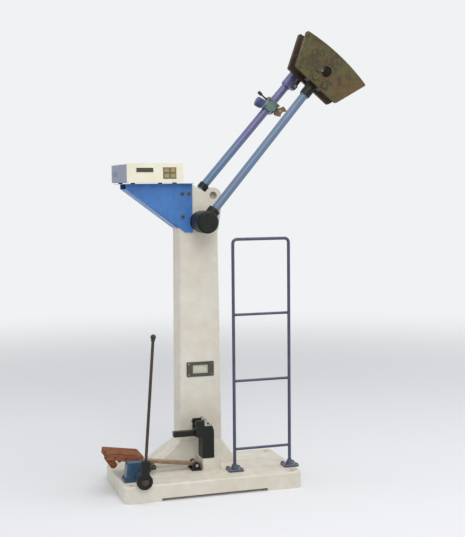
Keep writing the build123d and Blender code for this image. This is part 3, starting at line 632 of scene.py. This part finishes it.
FINISHES: tuple[Finish, ...] = (
    PaintFinish("cream_paint", (221, 216, 203), (209, 201, 184), (176, 170, 158),
                roughness=0.45, cast=True, wear=0.35, mottle_scale=3.5),
    PaintFinish("plate_frame", (72, 74, 62), (58, 58, 46), (150, 148, 138), roughness=0.5, dust=0.1),
    PaintFinish("black_paint", (28, 30, 22), (18, 22, 20), (84, 80, 68),
                cast=True, wear=0.5, dust=0.06, mottle_scale=20.0, specular=0.25, coat=0.03),
    PaintFinish("pipe_paint", (88, 118, 146), (98, 112, 138), (150, 160, 168),
                roughness=0.34, wear=0.4, mottle_scale=10.0),
    HeightSplitFinish("tube_paint", (98, 94, 140), (84, 88, 130), (150, 148, 162), roughness=0.34, wear=0.4,
                  mottle_scale=10.0, low=(88, 114, 144), part_height=1.34, blend=0.14),
    PaintFinish("pedestal_paint", (44, 78, 108), (30, 56, 74), (128, 134, 136),
                roughness=0.4, wear=0.6, cast=True, mottle_scale=16.0),
    PaintFinish("teal_paint", (84, 122, 132), (104, 112, 92), (170, 168, 150), wear=0.6, mottle_scale=22.0),
    PaintFinish("blue_paint", (64, 122, 190), (52, 104, 168), (126, 140, 160),
                roughness=0.4, wear=0.5, mottle_scale=7.0),
    # Box cover and chassis: white on top, with a painted shade of lilac-grey on the sides below 1.3245 m.
    HeightSplitFinish("white_paint", (230, 230, 232), (218, 218, 226), (168, 168, 170),
                  roughness=0.46, wear=0.25),
    PaintFinish("cream_panel", (236, 232, 212), (228, 222, 198), (176, 172, 160),
                roughness=0.44, wear=0.2, dust=0.1),
    PaintFinish("slate_paint", (66, 74, 100), (54, 62, 82), (132, 126, 126),
                roughness=0.38, wear=0.5, mottle_scale=16.0),
    PaintFinish("tan_paint", (156, 126, 96), (120, 92, 66), (178, 160, 136),
                roughness=0.5, wear=0.6, mottle_scale=14.0),
    PaintFinish("rust_paint", (152, 82, 48), (124, 62, 36), (186, 140, 104),
                roughness=0.46, wear=0.6, mottle_scale=12.0, cast=True),
    SteelFinish("bright_steel", (190, 190, 188), (120, 116, 108)),
    SteelFinish("dark_steel", (84, 74, 66), (52, 44, 38), roughness=0.4, metallic=0.7),
    SteelFinish("aluminium_trim", (206, 204, 190), (176, 172, 152), roughness=0.42, metallic=0.6),
    MottledFinish("olive_paint", (90, 84, 52), (66, 60, 38), (100, 78, 50), scale=11.0),
    # Painted shade: the rear hammer plate's dark brown is a darker copy of the front plate's olive, standing
    # in for the shade it lies in.
    MottledFinish("brown_paint", (60, 46, 32), (46, 36, 27), (76, 54, 36), scale=22.0),
    MottledFinish("bronze", (146, 124, 82), (120, 96, 70), (132, 88, 74),
                  scale=30.0, roughness=0.5, metallic=0.6),
    MottledFinish("lining", (124, 64, 24), (98, 50, 20), (142, 80, 36),
                  scale=40.0, roughness=0.8, metallic=0.0),
    MouldedFinish("black_plastic", (34, 34, 34), (24, 24, 26)),
    MouldedFinish("dark_blue_plastic", (52, 58, 104), (66, 68, 118), roughness=0.34),
    MouldedFinish("key_olive", (166, 152, 112), (140, 124, 86), roughness=0.55),
    MouldedFinish("black_rubber", (28, 28, 28), (20, 20, 20), roughness=0.8),
    KeypadFilmFinish("keypad_brown", (120, 92, 84), (126, 108, 70), part_height=1.303),
    # The display's lighter bars are a painted glow of its digits.
    DisplayFinish("dark_window", (50, 52, 30), (66, 68, 40), left=-0.255, digit_pitch=0.0117),
)


class Workshop:
    """Holds the finishes by slot, and turns bmeshes into finished pieces."""

    smooth_angle: ClassVar[float] = math.radians(35.0)

    def __init__(self) -> None:
        """Builds the shared effects and every finish."""
        effects = EffectLibrary()
        self.finishes = {finish.name: finish.make(effects) for finish in FINISHES}

    def dress(self, node: str, slot: str) -> None:
        """Gives a CAD node its finish.

        Args:
            node: The node's name.
            slot: The slot that the finish was made for.
        """
        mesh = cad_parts[node].data
        mesh.materials.clear()
        mesh.materials.append(self.finishes[slot])
        log.info("%s in %s", node, slot)

    def piece(self, form: Form, name: str, body: str, slot: str) -> None:
        """Turns a bmesh into a piece that rides on a body.

        Args:
            form: The shape, in place in the row frame.
            name: The piece's name.
            body: The body that it rides on.
            slot: The record's slot that it takes its finish from.
        """
        bmesh.ops.remove_doubles(form, verts=form.verts[:], dist=1e-6)
        bmesh.ops.recalc_face_normals(form, faces=form.faces[:])
        mesh = bpy.data.meshes.new(name)
        form.to_mesh(mesh)
        form.free()
        mesh.shade_smooth()
        mesh.set_sharp_from_angle(angle=self.smooth_angle)
        mesh.materials.append(self.finishes[slot])
        made = bpy.data.objects.new(name, mesh)
        bpy.context.scene.collection.objects.link(made)
        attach(made, body)
        log.info("%s on %s in %s", name, body, slot)


class Shapes:
    """The small forms that the details are made of."""

    hexagon_soft: ClassVar[float] = 0.0006

    @staticmethod
    def settle(form: Form, verts: list, at: Point, direction: Point) -> None:
        """Turns and moves some vertices from the origin to their place.

        Args:
            form: The bmesh.
            verts: The vertices.
            at: Where the origin goes.
            direction: Where +Z goes.
        """
        turn = Vector(direction).to_track_quat("Z", "Y").to_matrix().to_4x4()
        bmesh.ops.transform(form, matrix=Matrix.Translation(Vector(at)) @ turn, verts=verts)

    @staticmethod
    def fresh(form: Form, before: set) -> list:
        """The vertices that have joined since a set was taken."""
        return [vert for vert in form.verts if vert not in before]

    @staticmethod
    def spin(form: Form, geometry: list, around: int) -> None:
        """Turns an outline about the Z axis into a closed form."""
        bmesh.ops.spin(form, geom=geometry, cent=(0, 0, 0), axis=(0, 0, 1), angle=math.tau, steps=around,
                       use_merge=True, use_duplicate=False)

    @staticmethod
    def soften(form: Form, edges: list, soft: float) -> None:
        """Rounds some edges by a small width."""
        bmesh.ops.bevel(form, geom=edges, offset=soft, affect="EDGES", segments=2, profile=0.5, material=-1)

    @classmethod
    def weld(cls, form: Form, at: Point, direction: Point, radius: float, thick: float,
             around: int = 48, section: int = 8, ripple: float = 0.14) -> None:
        """A weld bead: a round-sectioned ring that swells and shrinks along its way.

        Args:
            form: The bmesh it joins.
            at: Its centre.
            direction: Its axis.
            radius: From the axis to the middle of the section.
            thick: The section's radius.
            around: Steps round the axis.
            section: Steps round the section.
            ripple: How much the section swells and shrinks, as a share.
        """
        circle = bmesh.ops.create_circle(form, segments=section, radius=thick)["verts"]
        turn = Matrix.Translation((radius, 0, 0)) @ Matrix.Rotation(math.pi / 2, 4, "X")
        bmesh.ops.transform(form, matrix=turn, verts=circle)
        before = set(form.verts) - set(circle)
        edges = [edge for edge in form.edges if edge.verts[0] in circle and edge.verts[1] in circle]
        cls.spin(form, circle + edges, around)
        made = cls.fresh(form, before)
        for vert in made:
            angle = math.atan2(vert.co.y, vert.co.x)
            middle = Vector((math.cos(angle), math.sin(angle), 0)) * radius
            swell = 1.0 + ripple * math.sin(angle * around / 2) + ripple * 0.5 * math.sin(angle * 3 + 1)
            vert.co = middle + (vert.co - middle) * swell
        cls.settle(form, made, at, direction)

    @classmethod
    def turned(cls, form: Form, at: Point, direction: Point, profile: Profile, around: int) -> None:
        """A solid of revolution from an open profile of radius and height.

        Args:
            form: The bmesh it joins.
            at: Where the profile's height is 0.
            direction: Its axis.
            profile: Radius and height of each corner. The first and last radius may be 0.
            around: Steps round the axis.
        """
        before = set(form.verts)
        verts = [form.verts.new((radius, 0, height)) for radius, height in profile]
        edges = [form.edges.new(pair) for pair in zip(verts, verts[1:])]
        cls.spin(form, verts + edges, around)
        bmesh.ops.remove_doubles(form, verts=cls.fresh(form, before), dist=1e-7)
        cls.settle(form, cls.fresh(form, before), at, direction)

    @classmethod
    def hexagon(cls, form: Form, at: Point, direction: Point, across: float, height: float) -> None:
        """A hexagon head with softened edges.

        Args:
            form: The bmesh it joins.
            at: The middle of its foot.
            direction: The way it stands.
            across: The distance across its corners.
            height: How tall it is.
        """
        before = set(form.verts)
        half = across / 2
        bmesh.ops.create_cone(form, cap_ends=True, segments=6, radius1=half, radius2=half, depth=height)
        made = cls.fresh(form, before)
        top = [edge for edge in form.edges if all(v in made and v.co.z > 0 for v in edge.verts)]
        cls.soften(form, top, cls.hexagon_soft)
        made = cls.fresh(form, before)
        bmesh.ops.translate(form, vec=(0, 0, height / 2), verts=made)
        cls.settle(form, made, at, direction)

    @classmethod
    def sunk_screw(cls, form: Form, at: Point, direction: Point, radius: float) -> None:
        """A low round screw head with a socket sunk into it.

        Args:
            form: The bmesh it joins.
            at: The middle of its foot.
            direction: The way it stands.
            radius: The head's radius.
        """
        rise = radius * 0.45
        profile = ((radius, 0), (radius, rise * 0.5), (radius * 0.8, rise), (radius * 0.42, rise * 1.06),
                   (radius * 0.3, rise * 0.4), (0, rise * 0.3))
        cls.turned(form, at, direction, profile, around=12)

    @classmethod
    def border(cls, form: Form, low: Point, high: Point, line: float, inset: float, soft: float) -> None:
        """Four bars round a rectangle that faces the front.

        Args:
            form: The bmesh they join.
            low: The lowest outer corner.
            high: The highest outer corner.
            line: How wide the bars are.
            inset: How far the upright bars stop short of the outer edge.
            soft: The width of the softened edges.
        """
        (left, near, bottom), (right, far, top) = low, high
        for bar_low, bar_high in (
            ((left, near, bottom), (right, far, bottom + line)),
            ((left, near, top - line), (right, far, top)),
            ((left, near, bottom + inset), (left + line, far, top - inset)),
            ((right - line, near, bottom + inset), (right, far, top - inset)),
        ):
            made = bmesh.ops.create_cube(form, size=1.0)["verts"]
            bmesh.ops.scale(form, vec=Vector(bar_high) - Vector(bar_low), verts=made)
            bmesh.ops.translate(form, vec=(Vector(bar_high) + Vector(bar_low)) / 2, verts=made)
            cls.soften(form, [edge for edge in form.edges if edge.verts[0] in made], soft)


@dataclass(frozen=True)
class Run:
    """A straight bar that leans in the X-Z plane, for the places along it."""

    start: Point
    slope: float

    def reach(self) -> Vector:
        """The bar's direction, which rises by the slope in degrees."""
        angle = math.radians(self.slope)
        return Vector((math.cos(angle), 0.0, math.sin(angle)))

    def at(self, distance: float, aside: float = 0.0, depth: float = 0.0) -> Vector:
        """A place measured from the bar's start.

        Args:
            distance: Along the bar.
            aside: Square to it, up and to the left.
            depth: Away from the operator.

        Returns:
            The place in the row frame.
        """
        reach = self.reach()
        beside = Vector((-reach.z, 0.0, reach.x)) * aside
        return Vector(self.start) + reach * distance + beside + Vector(BACK) * depth


@dataclass
class SubAssembly:
    """What every sub-assembly has: the workshop, and its CAD nodes by the slot they take."""

    workshop: Workshop
    slots: ClassVar[SlotTable] = {}

    def dress(self) -> None:
        """Gives each CAD node of the sub-assembly its finish."""
        for slot, nodes in self.slots.items():
            for node in nodes:
                self.workshop.dress(node, slot)

    def build(self) -> None:
        """Adds the details that the solids leave out. Each sub-assembly has its own."""
        raise NotImplementedError


@dataclass
class BaseAndColumn(SubAssembly):
    """The cast base, the column on it and the blank plate on its front."""

    slots: ClassVar[SlotTable] = {
        "cream_paint": ("base_casting", "column_casting"),
        "plate_frame": ("nameplate_frame",),
        "aluminium_trim": ("nameplate_blank",),
        "dark_steel": ("frame_bolts",),
    }
    plate_centre: Point = (0.012, 0.057, 0.470)
    rivet_offset: Pair = (0.050, 0.022)
    rivet_rise: float = 0.0016
    rivet_dome: Profile = ((0.0026, 0.0), (0.0023, 0.0008), (0.0012, 0.0014), (0.0, 0.0016))
    border_half: Pair = (0.028, 0.013)
    border_depths: Pair = (0.05795, 0.0583)
    border_line: float = 0.0006
    border_soft: float = 0.0001

    def build(self) -> None:
        """Adds the rivets' domes and the border line of the blank plate."""
        form = bmesh.new()
        x, y, z = self.plate_centre
        for side, level in product(SIDES, SIDES):
            at = (x + side * self.rivet_offset[0], y - self.rivet_rise, z + level * self.rivet_offset[1])
            Shapes.turned(form, at, FRONT, self.rivet_dome, around=16)
        self.workshop.piece(form, "plate_rivet_domes", "frame", "bright_steel")
        form = bmesh.new()
        across, up = self.border_half
        near, far = self.border_depths
        Shapes.border(form, (x - across, near, z - up), (x + across, far, z + up), self.border_line,
                      inset=0.0, soft=self.border_soft)
        self.workshop.piece(form, "plate_border", "frame", "plate_frame")


@dataclass
class AnvilStation(SubAssembly):
    """The specimen supports, with the anvils and the rest bar."""

    slots: ClassVar[SlotTable] = {
        "black_paint": ("support_block", "specimen_rest_bar"),
        "bright_steel": ("anvils",),
    }
    tower_back: float = -0.038
    swing_plane: float = -0.018
    tower_offset: float = 0.025
    screw_height: float = 0.262
    screw_head: Profile = (
        (0.0045, 0.0), (0.0045, 0.004), (0.0041, 0.0045), (0.0024, 0.0045), (0.0024, 0.002), (0.0, 0.002))

    def build(self) -> None:
        """Adds the cap screws that hold the anvils from behind."""
        form = bmesh.new()
        for side in SIDES:
            at = (self.tower_back, self.swing_plane + side * self.tower_offset, self.screw_height)
            Shapes.turned(form, at, LEFT, self.screw_head, around=20)
        self.workshop.piece(form, "anvil_screws", "frame", "dark_steel")


@dataclass
class Pendulum(SubAssembly):
    """The swinging hammer on its pipe, its hub and the shaft in its bearings."""

    slots: ClassVar[SlotTable] = {
        "bright_steel": (
            "pendulum_shaft", "bearing_inner_rings", "bearing_outer_rings", "ball_cages", "striker"),
        "black_paint": ("pendulum_hub", "hammer_socket", "bearing_covers"),
        "pipe_paint": ("pendulum_pipe",),
        "olive_paint": ("hammer_front_plate", "hammer_bolts"),
        # The rear plate takes the darker brown, a painted shade.
        "brown_paint": ("hammer_rear_plate",),
        "black_plastic": ("angle_sensor",),
    }
    pipe: Run = Run((0.018, -0.018, 1.090), 50.0)
    hub_end: float = 0.0668
    collar_start: float = 0.6755
    bead_radius: float = 0.0182
    bead_thick: float = 0.0022

    def build(self) -> None:
        """Adds the weld beads where the pipe enters the hub and the hammer's collar."""
        for name, distance, slot in (
            ("hub_weld", self.hub_end, "black_paint"), ("collar_weld", self.collar_start, "pipe_paint"),
        ):
            form = bmesh.new()
            Shapes.weld(form, self.pipe.at(distance), self.pipe.reach(), self.bead_radius, self.bead_thick)
            self.workshop.piece(form, name, "pendulum", slot)


@dataclass
class LatchBoom(SubAssembly):
    """The fixed tube behind the pendulum, with its hook and release."""

    slots: ClassVar[SlotTable] = {
        "black_paint": ("latch_tube_clamp",),
        "tube_paint": ("latch_tube", "latch_head"),
        "bright_steel": ("latch_pivots", "release_rod"),
        "dark_steel": ("latch_hook",),
        "teal_paint": ("release_housing",),
        "dark_blue_plastic": ("release_coil",),
        "bronze": ("release_lever",),
        "black_plastic": ("lock_knob",),
    }
    start: Point = (0.039, 0.095, 1.230)
    end: Point = (0.450, 0.095, 1.697)
    screw_places: Pair = (0.437, 0.467)
    screw_levels: Pair = (-0.021, 0.021)
    screw_depth: float = -0.027
    screw_head: Profile = (
        (0.004, 0.0), (0.004, 0.0032), (0.0036, 0.0036), (0.0021, 0.0036), (0.0021, 0.0016), (0.0, 0.0016))
    head_length: float = 0.0565
    bead_radius: float = 0.0182
    bead_thick: float = 0.002

    def build(self) -> None:
        """Adds the screws of the release housing and the head's weld bead."""
        rise = math.atan2(self.end[2] - self.start[2], self.end[0] - self.start[0])
        tube = Run(self.start, math.degrees(rise))
        form = bmesh.new()
        for distance, level in product(self.screw_places, self.screw_levels):
            at = tube.at(distance, level, self.screw_depth)
            Shapes.turned(form, at, FRONT, self.screw_head, around=16)
        self.workshop.piece(form, "release_screws", "frame", "dark_steel")
        form = bmesh.new()
        foot = math.dist(self.start, self.end) - self.head_length
        Shapes.weld(form, tube.at(foot), tube.reach(), self.bead_radius, self.bead_thick)
        self.workshop.piece(form, "head_weld", "frame", "tube_paint")


@dataclass
class ControlBox(SubAssembly):
    """The readout box on its blue bracket."""

    slots: ClassVar[SlotTable] = {
        "blue_paint": ("box_bracket",),
        "white_paint": ("box_cover", "box_chassis"),
        "cream_panel": ("box_front_panel",),
        "dark_window": ("display_window",),
        "keypad_brown": ("keypad_plate",),
        "black_plastic": ("rear_sockets", "power_switch"),
        "black_rubber": ("box_feet",),
        "key_olive": ("key_1", "key_2", "key_3", "key_4"),
    }
    left: float = -0.296
    right: float = -0.062
    back: float = 0.340
    bottom: float = 1.250
    top: float = 1.330
    window_centre: Pair = (-0.222, 1.303)
    window_size: Pair = (0.070, 0.018)
    bezel_depths: Pair = (0.0132, 0.015)
    bezel_rim: float = 0.0024
    bezel_soft: float = 0.0003
    screw_radius: float = 0.0034
    screw_depths: Pair = (0.045, 0.309)
    screw_inset: float = 0.012

    def build(self) -> None:
        """Adds the window's bezel and the screws of the cover and the rear panel."""
        form = bmesh.new()
        x, z = self.window_centre
        rim = self.bezel_rim
        across, up = (size / 2 + rim for size in self.window_size)
        near, far = self.bezel_depths
        Shapes.border(form, (x - across, near, z - up), (x + across, far, z + up), rim,
                      inset=rim, soft=self.bezel_soft)
        self.workshop.piece(form, "window_bezel", "frame", "cream_panel")
        form = bmesh.new()
        low = self.bottom + self.screw_inset
        for (side, direction), depth in product(((self.left, LEFT), (self.right, RIGHT)), self.screw_depths):
            Shapes.sunk_screw(form, (side, depth, low), direction, self.screw_radius)
        columns = (self.left + self.screw_inset, self.right - self.screw_inset)
        for level, column in product((low, self.top - self.screw_inset), columns):
            Shapes.sunk_screw(form, (column, self.back, level), BACK, self.screw_radius)
        self.workshop.piece(form, "box_screws", "frame", "bright_steel")


@dataclass
class GuardFrame(SubAssembly):
    """The rung frame that keeps people out of the hammer's path."""

    slots: ClassVar[SlotTable] = {
        "slate_paint": ("guard_hoop", "guard_rungs", "guard_feet"),
    }
    posts: Pair = (0.112, 0.352)
    depth: float = -0.096
    rungs: tuple[float, ...] = (0.712, 0.439, 0.156)
    rung_weld_offset: float = 0.006
    rung_bead: Pair = (0.0057, 0.0015)
    foot_weld_height: float = 0.0942
    foot_bead: Pair = (0.0078, 0.0017)
    bolt_offset: float = 0.023
    washer_height: float = 0.076
    washer: Profile = ((0.0072, 0.0), (0.0072, 0.0010), (0.0068, 0.0013), (0.0, 0.0013))

    def build(self) -> None:
        """Adds the weld beads at the rungs and the washers under the foot bolts."""
        form = bmesh.new()
        beads = [((post + side * self.rung_weld_offset, self.depth, height), RIGHT, self.rung_bead)
                 for height in self.rungs for post, side in zip(self.posts, (1, -1))]
        beads += [((post, self.depth, self.foot_weld_height), UP, self.foot_bead) for post in self.posts]
        for at, direction, (radius, thick) in beads:
            Shapes.weld(form, at, direction, radius, thick, around=36, section=6, ripple=0.16)
        self.workshop.piece(form, "guard_welds", "frame", "slate_paint")
        form = bmesh.new()
        for post, side, level in product(self.posts, SIDES, SIDES):
            at = (post + side * self.bolt_offset, self.depth + level * self.bolt_offset, self.washer_height)
            Shapes.turned(form, at, UP, self.washer, around=20)
        self.workshop.piece(form, "guard_washers", "frame", "bright_steel")


@dataclass
class FootBrake(SubAssembly):
    """The brake lever, its crank and the shoe arm it lifts."""

    slots: ClassVar[SlotTable] = {
        "black_paint": ("brake_hinge_block", "lever_boss"),
        "bright_steel": ("brake_hinge_pin", "brake_shaft", "crank_roller"),
        "tan_paint": ("brake_arm",),
        "rust_paint": ("brake_shoe",),
        "lining": ("shoe_lining", "lining_roller"),
        "pedestal_paint": ("brake_pedestal",),
        "dark_steel": ("lever_rod", "brake_crank"),
        "black_plastic": ("lever_knob",),
    }
    arm: Run = Run((-0.038, 0.0, 0.090), -8.5)
    rivet_runs: tuple[float, ...] = (-0.352, -0.306, -0.260)
    rivet_depth: float = -0.080
    rivet_level: float = 0.017
    rivet_dome: Profile = ((0.0042, 0.0), (0.0036, 0.0012), (0.0018, 0.0021), (0.0, 0.0024))
    shaft_end: Point = (-0.293, -0.224, 0.090)
    washer: Profile = ((0.014, 0.0), (0.014, 0.0016), (0.0135, 0.002), (0.0, 0.002))
    nut_foot: Point = (-0.293, -0.226, 0.090)
    nut_across: float = 0.022
    nut_height: float = 0.007

    def build(self) -> None:
        """Adds the shoe's rivets and the shaft's end nut."""
        form = bmesh.new()
        for distance in self.rivet_runs:
            at = self.arm.at(distance, self.rivet_level, self.rivet_depth)
            Shapes.turned(form, at, FRONT, self.rivet_dome, around=18)
        self.workshop.piece(form, "shoe_rivets", "brake_arm", "dark_steel")
        form = bmesh.new()
        Shapes.turned(form, self.shaft_end, FRONT, self.washer, around=28)
        Shapes.hexagon(form, self.nut_foot, FRONT, self.nut_across, self.nut_height)
        self.workshop.piece(form, "lever_end_nut", "brake_lever", "dark_steel")


@dataclass(frozen=True)
class Lamp:
    """A square soft lamp."""

    name: str
    place: Point
    target: Point
    size: float
    watts: float

    def hang(self) -> None:
        """Puts the lamp in its place, turned to what it lights."""
        light = bpy.data.lights.new(self.name, "AREA")
        light.shape = "SQUARE"
        light.size = self.size
        light.energy = self.watts
        lamp = bpy.data.objects.new(self.name, light)
        lamp.location = self.place
        lamp.rotation_mode = "QUATERNION"
        lamp.rotation_quaternion = (Vector(self.target) - Vector(self.place)).to_track_quat("-Z", "Y")
        bpy.context.scene.collection.objects.link(lamp)


@dataclass
class Studio:
    """The pale floor, the backdrop, the lamps and the camera."""

    camera_place: Point = (-1.146, -4.151, 1.245)
    yaw: float = 17.21
    pitch: float = 4.62
    roll: float = -0.53
    lens: float = 70.4
    view_end: float = 60.0
    floor_radius: float = 9.0
    fade: Pair = (1.6, 6.5)
    sky_tint: Point = (0.96, 0.98, 1.0)
    sky_strength: float = 0.5
    floor_colour: Colour = (229, 230, 232)
    backdrop_colour: Colour = (240, 242, 244)
    lamps: tuple[Lamp, ...] = (
        Lamp("front_lamp", (-0.6, -5.0, 4.2), (0.0, 0.0, 0.8), size=3.0, watts=112.0),
        Lamp("right_lamp", (4.6, -1.6, 2.4), (0.1, 0.0, 0.9), size=2.6, watts=48.0),
        Lamp("left_lamp", (-4.2, 1.6, 2.6), (0.0, 0.0, 0.9), size=2.6, watts=26.0),
        Lamp("top_lamp", (0.3, -0.9, 4.8), (0.1, 0.0, 0.4), size=3.6, watts=88.0),
    )

    def build(self) -> None:
        """Builds the whole studio."""
        self.backdrop()
        self.sky()
        for lamp in self.lamps:
            lamp.hang()
        self.camera()

    def backdrop(self) -> None:
        """A flat pale floor that fades out into the even surround."""
        form = bmesh.new()
        bmesh.ops.create_circle(form, cap_ends=True, segments=96, radius=self.floor_radius)
        mesh = bpy.data.meshes.new("studio_floor")
        form.to_mesh(mesh)
        form.free()
        floor = bpy.data.objects.new("studio_floor", mesh)
        bpy.context.scene.collection.objects.link(floor)
        material = bpy.data.materials.new("studio_floor")
        material.use_nodes = True
        mesh.materials.append(material)
        sheet = NodeSheet(material.node_tree)
        shader = sheet.tree.nodes["Principled BSDF"]
        looks = {"Base Color": self.floor_colour, "Roughness": 0.9, "Specular IOR Level": 0.1}
        for key, value in looks.items():
            sheet.feed(shader.inputs[key], value)
        reach = sheet.add("ShaderNodeVectorMath", {"operation": "LENGTH"}, {0: sheet.place()})
        limits = {"From Min": self.fade[0], "From Max": self.fade[1], "Value": reach.outputs["Value"]}
        fade = sheet.add("ShaderNodeMapRange", {"interpolation_type": "SMOOTHERSTEP"}, limits)
        sheet.show(fade.outputs["Result"], shader, sheet.add("ShaderNodeBsdfTransparent"), "Material Output")

    def sky(self) -> None:
        """An even surround, dimmer as a lamp than it looks behind the object."""
        world = bpy.data.worlds.new("studio")
        bpy.context.scene.world = world
        world.use_nodes = True
        sheet = NodeSheet(world.node_tree)
        lamp = sheet.tree.nodes["Background"]
        lamp.inputs["Color"].default_value = (*self.sky_tint, 1.0)
        lamp.inputs["Strength"].default_value = self.sky_strength
        seen = sheet.add("ShaderNodeBackground", inputs={"Color": self.backdrop_colour, "Strength": 1.0})
        rays = sheet.add("ShaderNodeLightPath").outputs
        total = rays["Is Camera Ray"]
        for ray in ("Is Glossy Ray", "Is Transmission Ray"):
            total = sheet.sum("ADD", total, rays[ray], clamp=True)
        sheet.show(total, lamp, seen, "World Output")

    def camera(self) -> None:
        """The camera where the photograph was taken from."""
        yaw, pitch, roll = (math.radians(value) for value in (self.yaw, self.pitch, self.roll))
        up = Vector(UP)
        right = Vector((math.cos(yaw), -math.sin(yaw), 0))
        ahead = Vector((math.sin(yaw), math.cos(yaw), 0))
        look = ahead * math.cos(pitch) - up * math.sin(pitch)
        above = ahead * math.sin(pitch) + up * math.cos(pitch)
        across = right * math.cos(roll) + above * math.sin(roll)
        upward = above * math.cos(roll) - right * math.sin(roll)
        data = bpy.data.cameras.new("photo_view")
        data.lens = self.lens
        data.clip_end = self.view_end
        camera = bpy.data.objects.new("photo_view", data)
        turn = Matrix((across, upward, -look)).transposed().to_4x4()
        camera.matrix_world = Matrix.Translation(self.camera_place) @ turn
        bpy.context.scene.collection.objects.link(camera)
        bpy.context.scene.camera = camera


def main() -> None:
    """Dresses and details every sub-assembly, then builds the studio round them."""
    logging.basicConfig(level=logging.INFO, format="%(name)s: %(message)s")
    bpy.context.scene.view_settings.view_transform = "Standard"
    workshop = Workshop()
    for kind in (BaseAndColumn, AnvilStation, Pendulum, LatchBoom, ControlBox, GuardFrame, FootBrake):
        assembly = kind(workshop)
        assembly.dress()
        assembly.build()
    Studio().build()


if __name__ == "__main__":
    main()
